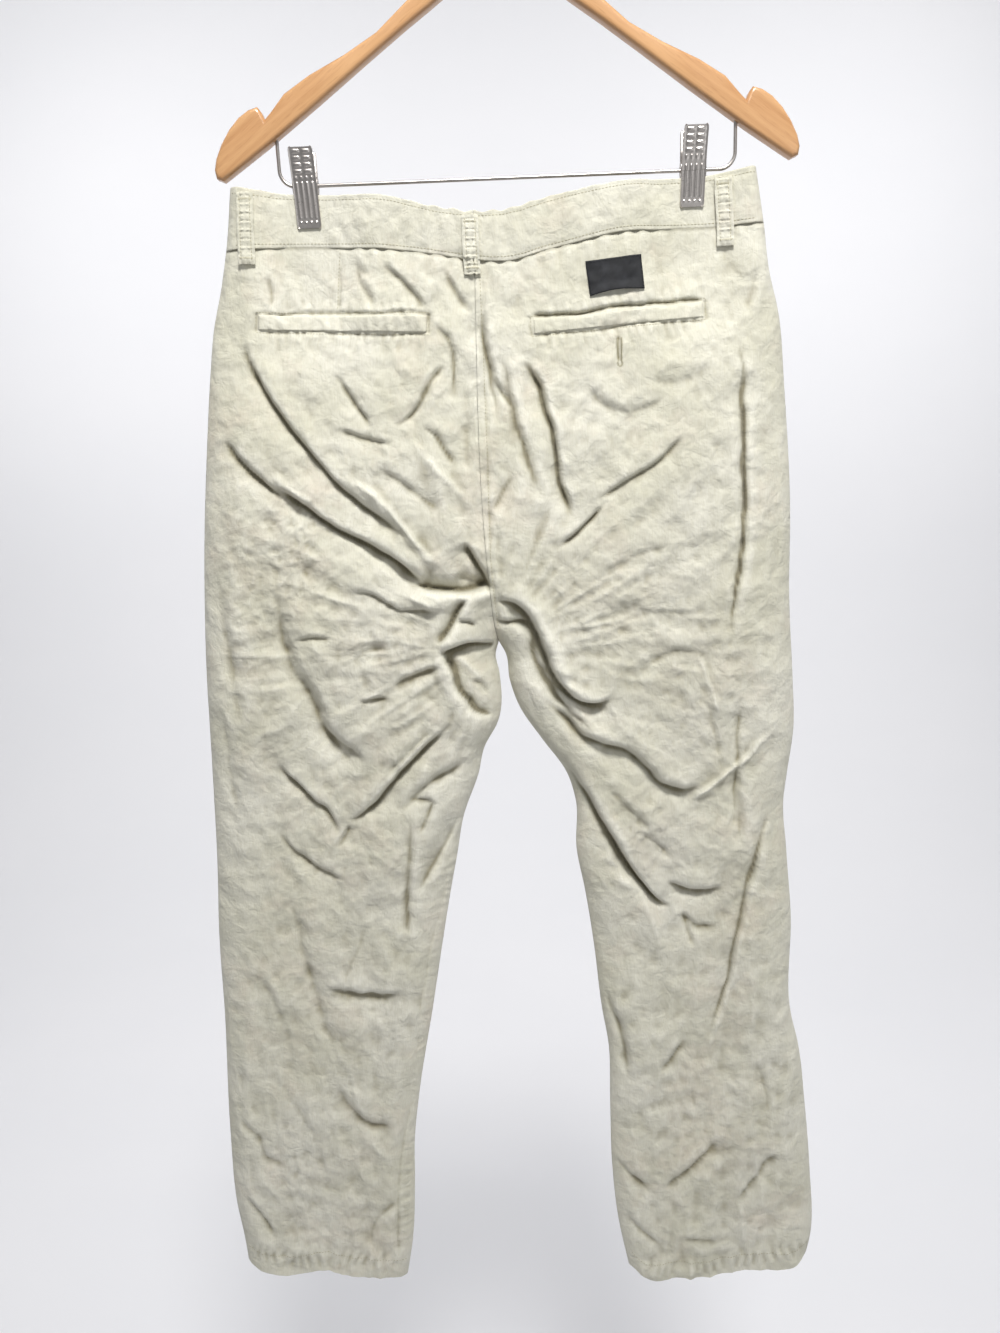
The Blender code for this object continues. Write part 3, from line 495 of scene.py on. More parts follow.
for clip in CLIPS:
    for word, sign in (("back", -1), ("front", 1)):
        shape, across, down = unit_grid("plate", *PLATE_CELLS)
        level = PLATE_BEND[-1][0] + (PLATE_BEND[0][0] - PLATE_BEND[-1][0]) * down
        stand = smooth(PLATE_BEND, level) + CLIP_PLATE
        middle = clip.x_top + (clip.x_bottom - clip.x_top) * down
        # Rounded corners: the plate narrows over its first and last three millimetres.
        end = np.minimum(down, 1.0 - down) * 57.0 / 3.0
        narrow = 1.0 - 0.14 * (1.0 - np.sqrt(1.0 - (1.0 - np.clip(end, 0.0, 1.0)) ** 2))
        x = middle + (across - 0.5) * CLIP_WIDTH * narrow
        lifted = clip.lift * smoothstep(np.abs(level - BAR_LEVEL) / 6.0)
        y = sign * (stand + pressed_pattern(across, down))
        move_to(shape, np.stack([x, y, level + lifted], axis=-1) * MM)
        bmesh.ops.recalc_face_normals(shape, faces=shape.faces)
        mesh = mesh_of(shape, f"clip_plate_{clip.side}_{word}")
        if mesh.polygons[0].normal.y * sign < 0:
            mesh.flip_normals()
        plate = add_piece(mesh.name, mesh, steel)
        thick = plate.modifiers.new("strip", "SOLIDIFY")
        thick.thickness = CLIP_PLATE * MM
        thick.offset = -1.0
        edge = plate.modifiers.new("broken_edge", "BEVEL")
        edge.width = 0.2 * MM
        edge.segments = 2
        edge.angle_limit = math.radians(60.0)
        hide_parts(f"clip_{clip.side}_{word}")

    middle = (clip.x_top + clip.x_bottom) / 2.0
    turns = np.linspace(0.0, 2.0 * math.pi * 9.0, 9 * 14 + 1)
    run = np.linspace(-7.2, 7.2, len(turns))
    coil = [
        (middle + a, 2.45 * math.cos(t), BAR_LEVEL + 2.45 * math.sin(t)) for a, t in zip(run, turns)
    ]
    tail = [(middle - 7.6, 2.9, BAR_LEVEL + 4.0), (middle - 8.2, 4.6, BAR_LEVEL + 14.0)]
    head = [(middle + 7.6, 2.4, BAR_LEVEL + 4.0), (middle + 8.2, -4.4, BAR_LEVEL + 14.0)]
    spring = add_wire(
        f"clip_spring_{clip.side}", tail[::-1] + coil + head, 0.5, steel
    )
    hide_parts(f"clip_{clip.side}_spring")

    # The ears: a tab folded in from each plate edge, with the bar through its hole.
    for sign in (-1, 1):
        shape = bmesh.new()
        bmesh.ops.create_circle(shape, cap_ends=False, segments=28, radius=5.2 * MM)
        outer = shape.edges[:]
        grown = bmesh.ops.extrude_edge_only(shape, edges=outer)["geom"]
        inner = [part for part in grown if isinstance(part, bmesh.types.BMVert)]
        bmesh.ops.scale(shape, vec=(0.33, 0.33, 1.0), verts=inner)
        bmesh.ops.scale(shape, vec=(1.25, 0.8, 1.0), verts=shape.verts)
        place = Matrix.Translation(Vector((middle + sign * 9.4, 0.0, BAR_LEVEL)) * MM)
        bmesh.ops.transform(
            shape, matrix=place @ Matrix.Rotation(math.pi / 2.0, 4, "Y"), verts=shape.verts
        )
        bmesh.ops.recalc_face_normals(shape, faces=shape.faces)
        name = f"clip_ear_{clip.side}_{'inner' if sign * middle < 0 else 'outer'}"
        ear = add_piece(name, mesh_of(shape, name), steel)
        thick = ear.modifiers.new("strip", "SOLIDIFY")
        thick.thickness = 0.8 * MM
        thick.offset = 0.0


# The legs: four long panels of washed cotton twill, two backs and two fronts, joined down
# the outside, the inside and the middle. They hang from the band in the creases that
# wearing and folding have left, and the right one twists a little below the knee.
SEAM_GAP = 0.3
CLOTH = 1.1
CROTCH = -612.0
SEAT_CURVE_TOP = -525.0
WAIST_LEVEL = -289.0
SLANT_END = -450.0
SLANT_TOP = 42.0
FRONT_DROP = 6.0
CENTRE_X = -28.0
HEM_LEVEL = -1255.0
PINCH_SHARE = 0.8
PINCH_WIDTH = 38.0
PINCH_FADE = -400.0

MIDDLE_LINE = ((-244, -28), (-560, -28), (-596, -25), (CROTCH, -22))
OUTER_LEFT = (
    (-244, -216),
    (-289, -224),
    (-317, -231),
    (-347, -240),
    (-378, -246),
    (-440, -256),
    (-520, -267),
    (-612, -276),
    (-715, -282),
    (-800, -287),
    (-885, -294),
    (-955, -297),
    (-1095, -306),
    (-1170, -308),
    (-1222, -304),
    (-1250, -303),
)
OUTER_RIGHT = (
    (-244, 193),
    (-284, 200),
    (-319, 205),
    (-350, 213),
    (-412, 220),
    (-500, 227),
    (-587, 229),
    (-658, 234),
    (-697, 236),
    (-746, 231),
    (-768, 229),
    (-817, 233),
    (-881, 239),
    (-985, 242),
    (-1019, 250),
    (-1088, 259),
    (-1159, 266),
    (-1245, 269),
    (-1262, 266),
)
INNER_LEFT = (
    (CROTCH, -22),
    (-622, -25),
    (-640, -22.5),
    (-685, -26),
    (-706, -38),
    (-732, -45),
    (-771, -60),
    (-809, -68),
    (-841, -75),
    (-896, -86),
    (-964, -99),
    (-1054, -117),
    (-1116, -126),
    (-1153, -128),
    (-1231, -135),
    (-1273, -143),
)
INNER_RIGHT = (
    (CROTCH, -22),
    (-622, -17),
    (-647, -14),
    (-672, -6),
    (-701, 12),
    (-733, 33),
    (-760, 41),
    (-809, 41),
    (-851, 48),
    (-905, 55),
    (-977, 62),
    (-1010, 67),
    (-1079, 68),
    (-1150, 69),
    (-1211, 74),
    (-1279, 86),
)
# x, the band's upper edge, and the seam below it.
WAIST = (
    (-222, -244, -289),
    (-180, -249, -288),
    (-130, -252, -290),
    (-95, -255, -293),
    (-60, -264, -298),
    (-25, -269, -304),
    (0, -268, -305),
    (25, -262, -299),
    (50, -257, -294),
    (80, -252, -288),
    (125, -250, -286),
    (155, -249, -286),
    (200, -244, -284),
)
HEM_LEFT = (
    (-303, -1241),
    (-284, -1250),
    (-258, -1254),
    (-225, -1249),
    (-197, -1259),
    (-175, -1261),
    (-143, -1268),
)
HEM_RIGHT = (
    (86, -1268),
    (101, -1279),
    (127, -1276),
    (150, -1280),
    (185, -1276),
    (222, -1273),
    (250, -1272),
    (267, -1259),
)
# Level, how far the back and the front stand off the middle, and the rounding's width.
SECTIONS = (
    (WAIST_LEVEL, 10.5, 10.5, 12),
    (-330, 14, 11, 26),
    (-400, 20, 13, 44),
    (-470, 24, 15, 52),
    (-560, 27, 17, 52),
    (-640, 27, 18, 50),
    (-720, 24, 17, 46),
    (-860, 20, 15, 42),
    (-1060, 16, 13, 36),
    (-1280, 13, 11, 30),
)
Side = namedtuple("Side", "name sign outer inner hem")
Face = namedtuple("Face", "name sign column edge_columns flat_columns rows")
SIDES = (
    Side("left", -1, OUTER_LEFT, INNER_LEFT, HEM_LEFT),
    Side("right", 1, OUTER_RIGHT, INNER_RIGHT, HEM_RIGHT),
)
BACK = Face("back", -1, 1, 3, 10, (9, 8, 27))
FRONT = Face("front", 1, 2, 3, 7, (7, 5, 18))

# One crease: its line, seen from the back, how deep it is, how wide its steep side is,
# on the left of the line's direction, how wide its gentle side is, and how far the cloth
# beyond the steep side swells out. A negative depth makes a ridge.
# Its ends die away over the length divided by the last number.
Crease = namedtuple("Crease", "line depth steep gentle swell ends", defaults=(3.6,))
BACK_CREASES = (
    Crease(((-215, -350), (-211, -374), (-205, -388), (-189, -415), (-165, -450), (-146, -473), (-126,
        -492), (-108, -506), (-92, -520)), 7.0, 2.6, 8.5, 2.0, 5.0),
    Crease(((-239, -428), (-228, -447), (-215, -462), (-200, -475), (-189, -482)), 7.0, 3.0, 7.0, 1.2),
    Crease(((-203, -468), (-179, -486), (-155, -504), (-133, -518), (-109, -534), (-92, -547), (-78,
        -557)), 10.5, 3.0, 11.0, 2.8, 6.0),
    Crease(((-145, -384), (-136, -397), (-126, -415), (-117, -430)), 4.0, 2.2, 4.0, 0.6),
    Crease(((-102, -431), (-87, -423), (-73, -403), (-55, -377)), 3.8, 2.2, 4.0, 0.6),
    Crease(((-150, -430), (-125, -436), (-98, -443)), 3.4, 2.6, 6.0, 0.6),
    Crease(((-80, -427), (-68, -435), (-58, -448), (-48, -465)), 3.2, 2.2, 4.0, 0.4),
    Crease(((-118, -455), (-91, -476), (-64, -502)), 4.6, 5.0, 9.0, 1.0),
    Crease(((-145, -462), (-118, -484), (-96, -508), (-74, -536), (-60, -550)), -4.6, 3.4, 3.6, 0.0),
    Crease(((-88, -438), (-66, -462), (-41, -497)), -2.8, 3.0, 3.4, 0.0),
    Crease(((-203, -459), (-188, -473), (-168, -486)), -2.2, 3.5, 4.0, 0.0),
    Crease(((-48, -522), (-42, -534), (-36, -546), (-30, -558), (-28, -568)), 9.5, 2.8, 9.0, 1.8, 5.0),
    Crease(((-27, -556), (-35, -561), (-46, -564), (-58, -564), (-70, -562), (-80, -559), (-90, -553)),
        12.0, 2.6, 8.0, 3.2, 7.0),
    Crease(((-47, -568), (-53, -577), (-59, -587), (-65, -598), (-74, -608)), 8.5, 2.6, 5.0, 1.8, 5.0),
    Crease(((-60, -553), (-46, -556), (-30, -562)), 5.0, 7.0, 7.0, 0.0),
    Crease(((-57, -588), (-47, -589), (-41, -594)), 3.6, 2.0, 3.0, 0.6),
    Crease(((-72, -616), (-58, -612), (-47, -610), (-35, -610), (-24, -611)), 12.0, 2.6, 8.0, 2.6, 8.0),
    Crease(((-26, -676), (-44, -668), (-50, -657), (-58, -644), (-63, -630), (-70, -616)), 9.0, 2.6, 6.5,
        2.0, 6.0),
    Crease(((-64, -616), (-50, -626), (-34, -643)), -2.6, 3.0, 3.0, 0.0),
    Crease(((-47, -639), (-38, -645), (-31, -656)), 3.6, 2.4, 3.4, 0.4),
    Crease(((-124, -552), (-95, -566), (-61, -580)), -3.4, 5.0, 5.0, 0.0),
    Crease(((-148, -563), (-131, -563), (-115, -572), (-104, -577), (-87, -577), (-62, -584)), 3.8, 2.4,
        5.5, 0.8),
    Crease(((-116, -644), (-102, -636), (-88, -631), (-70, -626)), 5.0, 3.4, 7.0, 1.0),
    Crease(((-146, -655), (-129, -654), (-114, -656)), 3.4, 2.6, 5.0, 0.4),
    Crease(((-194, -599), (-183, -596), (-160, -598)), 3.0, 2.4, 5.0, 0.4),
    Crease(((-153, -622), (-132, -612), (-112, -612)), 2.4, 4.0, 6.0, 0.3),
    Crease(((-214, -545), (-205, -572), (-203, -603), (-196, -626), (-182, -655), (-176, -680), (-160,
        -702), (-136, -724)), 10.0, 10.0, 13.0, 3.4),
    Crease(((-182, -672), (-168, -688), (-140, -708)), 3.4, 4.0, 8.0, 0.8),
    Crease(((-224, -704), (-207, -725), (-190, -744), (-181, -751), (-174, -765), (-168, -780)), 5.6,
        2.8, 6.5, 1.0),
    Crease(((-171, -762), (-157, -762), (-141, -753), (-121, -731), (-96, -706), (-62, -673)), 8.5, 3.0,
        8.5, 2.2),
    Crease(((-174, -792), (-166, -778), (-160, -765)), 3.4, 2.6, 4.0, 0.3),
    Crease(((-114, -760), (-96, -738), (-73, -724), (-50, -714)), 6.0, 6.0, 10.0, 1.6),
    Crease(((-110, -748), (-98, -747), (-86, -749), (-92, -766), (-102, -784)), 3.0, 2.4, 3.4, 0.5),
    Crease(((-128, -727), (-109, -707), (-80, -680)), 3.6, 5.0, 6.0, 0.6),
    Crease(((-102, -752), (-112, -818), (-118, -900)), 4.2, 3.0, 6.0, 0.6),
    Crease(((-59, -759), (-78, -792), (-97, -823), (-109, -842)), 5.6, 4.0, 7.0, 1.2),
    Crease(((-229, -768), (-210, -795), (-196, -808), (-162, -825)), 4.0, 3.2, 7.0, 0.8),
    Crease(((-225, -822), (-216, -866), (-213, -900), (-205, -944), (-196, -987), (-190, -1002)), 5.2,
        8.0, 13.0, 1.6),
    Crease(((-202, -928), (-178, -937), (-151, -942), (-121, -938)), 5.2, 4.6, 10.0, 1.8),
    Crease(((-199, -1030), (-184, -1062), (-166, -1081), (-138, -1086)), 4.6, 6.0, 10.0, 1.2),
    Crease(((-296, -1069), (-276, -1090), (-269, -1114), (-250, -1126)), 3.6, 5.0, 8.0, 0.8),
    Crease(((-298, -1156), (-281, -1184), (-270, -1213)), 3.6, 4.0, 7.0, 0.6),
    Crease(((-143, -1169), (-164, -1186), (-176, -1231)), 3.6, 4.0, 7.0, 0.6),
    Crease(((-192, -307), (-190, -320), (-191, -333)), 2.6, 2.6, 4.0, 0.3),
    Crease(((-121, -297), (-117, -305), (-112, -315)), 3.0, 2.8, 4.0, 0.3),
    Crease(((-103, -302), (-84, -321), (-67, -342)), 4.0, 2.6, 6.0, 0.8),
    Crease(((-53, -308), (-45, -327), (-32, -344)), 3.4, 2.6, 6.0, 0.6),
    Crease(((-66, -348), (-52, -363), (-50, -382), (-49, -412)), 3.2, 2.6, 5.0, 0.4),
    Crease(((-120, -297), (-118, -317), (-107, -339)), 3.2, 2.6, 5.0, 0.4),
    Crease(((-23, -340), (-22, -376), (-13, -402), (1, -424)), 4.6, 3.0, 6.0, 0.8),
    Crease(((-27, -332), (-25, -364), (-21, -386), (-17, -410), (-13, -438)), 3.6, 3.0, 5.0, 0.4),
    Crease(((-45, -385), (-40, -430), (-44, -470)), 2.0, 5.0, 8.0, 0.3),
    Crease(((-252, -520), (-250, -600), (-247, -690)), 3.0, 6.0, 9.0, 0.8),
    Crease(((-262, -640), (-262, -720), (-258, -790)), 2.2, 5.0, 8.0, 0.5),
    Crease(((-150, -865), (-170, -905), (-182, -935)), 2.4, 5.0, 8.0, 0.4),
    Crease(((-262, -905), (-240, -960), (-234, -1010)), 2.4, 6.0, 9.0, 0.5),
    Crease(((-245, -1035), (-222, -1090), (-214, -1150)), 2.6, 7.0, 11.0, 0.6),
    Crease(((5, -380), (18, -400), (24, -423), (30, -449), (33, -476), (42, -510)), 8.0, 2.6, 7.5, 1.6,
        5.0 ),
    Crease(((-17, -375), (-8, -386), (-5, -409), (1, -432), (8, -462), (19, -494)), 5.0, 3.2, 6.5, 1.0 ),
    Crease(((-26, -504), (-14, -485), (-4, -466)), 3.0, 3.0, 5.0, 0.3),
    Crease(((56, -495), (79, -485), (99, -472), (120, -456), (140, -439)), 4.0, 2.2, 6.0, 0.8),
    Crease(((28, -531), (44, -521), (56, -509), (70, -496)), 4.6, 2.0, 3.6, 0.8),
    Crease(((50, -392), (66, -415), (86, -425), (110, -420), (125, -405)), 2.6, 4.0, 8.0, 0.6),
    Crease(((178, -360), (182, -408), (183, -469), (184, -521), (180, -558), (175, -595), (172, -626)),
        6.0, 2.2, 3.2, 0.6),
    Crease(((193, -318), (190, -338), (187, -358)), 2.6, 3.0, 4.0, 0.3),
    Crease(((-27, -577), (-17, -575), (-8, -577), (2, -587), (8, -600), (16, -619), (22, -635), (30,
        -650), (40, -661), (56, -666), (78, -660)), 12.5, 3.2, 12.0, 5.0, 6.0),
    Crease(((8, -598), (6, -616), (13, -637), (26, -659), (40, -675), (60, -689)), 6.4, 4.0, 7.0, 1.4),
    Crease(((-26, -589), (-15, -591), (-5, -590), (5, -594)), 5.6, 2.2, 4.0, 0.9),
    Crease(((11, -658), (33, -679), (47, -694), (65, -703), (87, -713), (102, -728), (117, -744), (130,
        -749), (159, -739)), 9.5, 4.6, 12.0, 3.8, 5.0),
    Crease(((136, -762), (176, -729), (216, -695)), -3.8, 2.8, 3.0, 0.0, 5.0),
    Crease(((144, -621), (153, -647), (165, -681)), -2.4, 2.6, 2.8, 0.0),
    Crease(((182, -660), (182, -701), (181, -743), (179, -790)), 3.0, 2.6, 5.0, 0.5),
    Crease(((30, -722), (51, -754), (69, -788), (88, -821), (101, -840), (111, -856), (126, -865)), 12.5,
        2.8, 11.0, 3.6, 6.0),
    Crease(((62, -735), (84, -762), (112, -792)), 3.6, 6.0, 9.0, 0.8),
    Crease(((92, -785), (112, -800), (124, -818)), 3.2, 4.0, 6.0, 0.6),
    Crease(((116, -836), (130, -843), (150, -847), (174, -846)), 7.0, 4.0, 11.0, 2.4),
    Crease(((131, -868), (152, -884), (172, -880)), 3.2, 3.6, 6.0, 0.6),
    Crease(((214, -756), (203, -806), (194, -846), (184, -899), (177, -942), (166, -979), (158, -1012)),
        5.4, 2.8, 5.0, 0.8),
    Crease(((180, -725), (184, -765), (188, -808)), 3.6, 4.0, 7.0, 0.8),
    Crease(((65, -829), (94, -842), (105, -874), (121, -915)), -5.0, 9.0, 9.0, 0.0),
    Crease(((134, -868), (141, -888), (145, -905)), 3.6, 4.0, 5.0, 0.4),
    Crease(((61, -940), (71, -970), (80, -1002), (82, -1029), (85, -1048)), 7.0, 4.0, 7.0, 1.2),
    Crease(((115, -1037), (129, -1019), (140, -1000)), 3.6, 4.0, 6.0, 0.6),
    Crease(((145, -1054), (147, -1079)), 2.4, 4.0, 5.0, 0.3),
    Crease(((204, -1022), (214, -1057), (221, -1105)), 3.8, 5.0, 8.0, 0.8),
    Crease(((187, -1193), (210, -1161), (236, -1127)), 3.8, 5.0, 8.0, 0.8),
    Crease(((67, -1131), (88, -1155), (106, -1174)), 4.0, 4.0, 6.0, 0.6),
    Crease(((115, -1172), (145, -1146), (176, -1110)), 4.2, 5.0, 8.0, 0.8),
    Crease(((78, -1198), (99, -1222), (118, -1241)), 3.6, 4.0, 6.0, 0.5),
    Crease(((130, -1226), (150, -1232), (179, -1234)), 2.4, 4.0, 5.0, 0.3),
    # The pockets' mouths, the stitched sides and lower edges of their welts, the dart, the
    # buttonhole, and the seam inside the left leg.
    Crease(((-203, -336.5), (-66, -342.5)), 1.8, 1.4, 1.6, 0.0, 24.0),
    Crease(((-204, -351.5), (-67, -359)), 1.2, 1.5, 1.6, 0.0, 24.0),
    Crease(((-203, -336), (-204, -352)), 1.8, 2.0, 2.0, 0.0, 12.0),
    Crease(((-66, -342), (-67, -359)), 1.8, 2.0, 2.0, 0.0, 12.0),
    Crease(((14, -348.5), (153, -339.5)), 3.2, 1.7, 2.0, 0.3, 20.0),
    Crease(((14, -363.5), (153, -355.5)), 1.2, 1.5, 1.6, 0.0, 24.0),
    Crease(((14, -348), (14, -364)), 1.8, 2.0, 2.0, 0.0, 12.0),
    Crease(((153, -339), (153, -356)), 1.8, 2.0, 2.0, 0.0, 12.0),
    Crease(((-132, -291), (-137, -337)), 1.6, 1.8, 1.8, 0.0, 12.0),
    Crease(((80, -290), (80, -304)), 1.0, 1.8, 1.8, 0.0, 8.0),
    Crease(((83.5, -366), (83.5, -386)), 2.6, 1.6, 1.6, 0.0, 9.0),
    Crease(((-24.5, -316), (-24.5, -450), (-24.5, -560), (-22, -598)), 1.1, 1.8, 1.8, 0.0, 30.0),
    Crease(((-73, -798), (-89, -868), (-107, -939), (-121, -1042), (-137, -1112), (-145, -1169), (-151,
        -1246)), 1.9, 2.0, 3.0, 0.0, 20.0),
    Crease(((100, -395), (128, -404), (160, -392)), 2.2, 6.0, 10.0, 0.4),
    Crease(((205, -420), (212, -500), (211, -580)), 2.0, 5.0, 8.0, 0.4),
    Crease(((60, -560), (95, -540), (128, -530)), 2.2, 4.0, 8.0, 0.5),
    Crease(((70, -600), (104, -588), (150, -590)), 2.4, 4.0, 8.0, 0.5),
    Crease(((92, -640), (122, -622), (160, -628)), 2.6, 4.0, 8.0, 0.5),
    Crease(((150, -655), (162, -700), (168, -740)), 2.6, 4.0, 8.0, 0.5),
)
FRONT_CREASES = (
    Crease(((-31, -560), (-80, -532), (-140, -500), (-192, -468)), 4.4, 4.0, 9.0, 1.4),
    Crease(((-32, -588), (-90, -566), (-160, -556), (-227, -562)), 4.4, 4.0, 9.0, 1.2),
    Crease(((-34, -604), (-90, -636), (-140, -660), (-182, -682)), 4.4, 4.0, 10.0, 1.4),
    Crease(((-20, -560), (30, -520), (90, -496), (152, -480)), 4.4, 4.0, 9.0, 1.4),
    Crease(((-18, -590), (50, -600), (120, -600), (187, -584)), 4.4, 4.0, 9.0, 1.2),
    Crease(((-10, -612), (40, -640), (80, -676), (122, -702)), 4.8, 4.0, 10.0, 1.6),
    Crease(((-207, -788), (-160, -806), (-108, -832)), 4.4, 4.0, 9.0, 1.4),
    Crease(((-237, -848), (-180, -866), (-118, -871)), 4.6, 4.0, 9.0, 1.0),
    Crease(((73, -828), (130, -838), (192, -862)), 5.2, 4.0, 9.0, 1.2),
    Crease(((68, -906), (120, -902), (172, -884)), 4.6, 4.0, 9.0, 1.0),
    Crease(((-216, -978), (-204, -1050), (-189, -1132)), 4.6, 7.0, 12.0, 1.4),
    Crease(((140, -958), (150, -1040), (166, -1122)), 4.6, 7.0, 12.0, 1.4),
    Crease(((-287, -1088), (-254, -1118), (-223, -1152)), 4.2, 4.0, 9.0, 0.8),
    Crease(((217, -1048), (196, -1110), (173, -1172)), 4.2, 4.0, 9.0, 0.8),
    Crease(((-150, -398), (-160, -460), (-166, -522)), 3.6, 4.0, 8.0, 0.6),
    Crease(((115, -393), (122, -460), (125, -522)), 3.6, 4.0, 8.0, 0.6),
    Crease(((-120, -700), (-150, -716), (-205, -712)), 3.6, 4.0, 8.0, 0.6),
    Crease(((70, -742), (110, -752), (170, -736)), 3.4, 4.0, 8.0, 0.6),
    Crease(((-262, -560), (-258, -650), (-252, -740)), 3.2, 5.0, 8.0, 0.6),
    Crease(((214, -470), (217, -560), (212, -650)), 3.2, 5.0, 8.0, 0.6),
    Crease(((-60, -330), (-75, -372), (-70, -420)), 2.6, 4.0, 8.0, 0.4),
    Crease(((20, -330), (36, -372), (30, -430)), 2.6, 4.0, 8.0, 0.4),
    Crease(((-180, -900), (-160, -930), (-130, -945)), 3.0, 4.0, 8.0, 0.5),
    Crease(((95, -1000), (130, -1022), (180, -1016)), 3.0, 4.0, 8.0, 0.5),
    Crease(((-200, -1190), (-176, -1206), (-150, -1204)), 2.8, 4.0, 7.0, 0.4),
    Crease(((110, -1210), (150, -1222), (205, -1212)), 2.8, 4.0, 7.0, 0.4),
)
CREASES = {"back": BACK_CREASES, "front": FRONT_CREASES}
LEG_CELLS = {"back": (164, 520), "front": (84, 350)}

# Where wearing has crushed the cloth into small crumples: middle, half width and half
# height, how high they are and how far apart. The crumpled patches also get painted shade, greyed in
# speckles.
Crumple = namedtuple("Crumple", "face x z wide tall height size")
CRUMPLES = (
    Crumple("back", -184, -520, 34, 74, 3.4, 14.0),
    Crumple("back", -232, -560, 24, 150, 2.6, 14.0),
    Crumple("back", -112, -612, 70, 46, 1.9, 17.0),
    Crumple("back", -90, -690, 60, 34, 1.3, 15.0),
    Crumple("back", 78, -575, 76, 66, 1.5, 15.0),
    Crumple("back", 150, -650, 62, 74, 1.6, 16.0),
    Crumple("back", 96, -790, 54, 70, 1.8, 17.0),
    Crumple("back", 168, -860, 46, 60, 1.5, 16.0),
    Crumple("back", -190, -955, 76, 70, 1.5, 18.0),
    Crumple("back", -150, -800, 70, 50, 1.3, 17.0),
    Crumple("back", 160, -1120, 70, 96, 1.6, 19.0),
    Crumple("back", -228, -1140, 60, 90, 1.4, 19.0),
    Crumple("back", -160, -1195, 50, 40, 1.2, 15.0),
    Crumple("front", -140, -560, 90, 90, 1.8, 17.0),
    Crumple("front", 90, -570, 90, 90, 1.8, 17.0),
    Crumple("front", -170, -850, 80, 80, 1.7, 18.0),
    Crumple("front", 130, -850, 70, 80, 1.7, 18.0),
)


def smooth_line(points, step=3.0):
    """A line through the points, rounded at each of them, in short steps."""
    known = np.array(points, float)
    if len(known) > 2:
        run = np.concatenate([[0.0], np.cumsum(np.hypot(*np.diff(known, axis=0).T))])
        at = np.linspace(0.0, run[-1], max(int(run[-1] / step), 4) + 1)
        columns = [smooth(np.stack([run, known[:, i]], axis=-1), at) for i in (0, 1)]
        return np.stack(columns, axis=-1)
    share = np.linspace(0.0, 1.0, 9)[:, None]
    return known[0] + (known[-1] - known[0]) * share


def beside_line(x, z, points):
    """For each place, how far along a line its nearest point is, and the distance from it,
    which is positive on the left of the line."""
    line = smooth_line(points)
    start = line[:-1]
    run = np.diff(line, axis=0)
    length = np.hypot(run[:, 0], run[:, 1])
    away_x = x[:, None] - start[:, 0]
    away_z = z[:, None] - start[:, 1]
    t = np.clip((away_x * run[:, 0] + away_z * run[:, 1]) / length**2, 0.0, 1.0)
    off_x = away_x - t * run[:, 0]
    off_z = away_z - t * run[:, 1]
    distance = np.hypot(off_x, off_z)
    best = np.argmin(distance, axis=1)
    pick = np.arange(len(x))
    begun = np.concatenate([[0.0], np.cumsum(length)[:-1]])
    along = begun[best] + t[pick, best] * length[best]
    side = np.sign(run[best, 0] * off_z[pick, best] - run[best, 1] * off_x[pick, best])
    return along, distance[pick, best] * side, float(length.sum())


def rumple(x, z, size, octaves, seed, tall=1.0):
    """A soft, uneven waviness between about -1 and 1."""
    spots = zip((x / size).tolist(), (z / (size * tall)).tolist())
    return np.array([noise.fractal((a, b, seed), 0.9, 2.1, octaves) for a, b in spots])


def crease_depth(face, x, z):
    """How far the creases push the cloth inwards at each place, and how near that is to the
    bottom of a sharp one, from 0 to about 1, which sets a painted dark line of shade."""
    # A slow waver keeps every line from being drawn with a ruler.
    wave_x = x + 2.4 * rumple(x, z, 34.0, 2, 3.0 + face.sign)
    wave_z = z + 2.4 * rumple(x, z, 34.0, 2, 9.0 + face.sign)
    total = np.zeros_like(x)
    sharp = np.zeros_like(x)
    for crease in CREASES[face.name]:
        line = np.array(crease.line, float)
        reach = 3.0 * max(crease.gentle, 2.5 * crease.steep + 4.0)
        near = (x > line[:, 0].min() - reach) & (x < line[:, 0].max() + reach)
        near &= (z > line[:, 1].min() - reach) & (z < line[:, 1].max() + reach)
        if not near.any():
            continue
        along, away, length = beside_line(wave_x[near], wave_z[near], crease.line)
        share = along / length
        taper = smoothstep(share * crease.ends) * smoothstep((1.0 - share) * crease.ends)
        steep = np.exp(-(np.abs(away / (0.8 * crease.steep)) ** 1.6))
        gentle = np.exp(-(np.abs(away / crease.gentle) ** 1.3))
        trough = np.where(away > 0.0, steep, gentle)
        beyond = away - 2.4 * crease.steep
        swell = crease.swell * np.exp(-((beyond / (2.2 * crease.steep + 3.0)) ** 2))
        total[near] += taper * (crease.depth * trough - swell)
        narrow = np.exp(-(((away + 0.5) / (0.36 * crease.steep + 0.7)) ** 2))
        # Only a deep and narrow one gets a painted dark line of shade inside.
        dark = min(max(0.5 * (crease.depth / crease.steep - 0.7), 0.0), 1.2)
        sharp[near] += taper * narrow * dark
    return total, sharp


def inner_edge(side, z):
    middle = smooth(MIDDLE_LINE, z)
    inseam = smooth(side.inner, z)
    return np.where(z >= CROTCH, middle, inseam) + side.sign * SEAM_GAP / 2.0


def slant_start(face, z):
    """How far the front's edge lies from the side seam, along the slant pocket."""
    share = (WAIST_LEVEL - z) / (WAIST_LEVEL - SLANT_END)
    slant = 1.0 + (SLANT_TOP - 1.0) * (1.0 - np.clip(share, 0.0, 1.0))
    return np.where((z >= SLANT_END) & (face is FRONT), slant, 0.0)


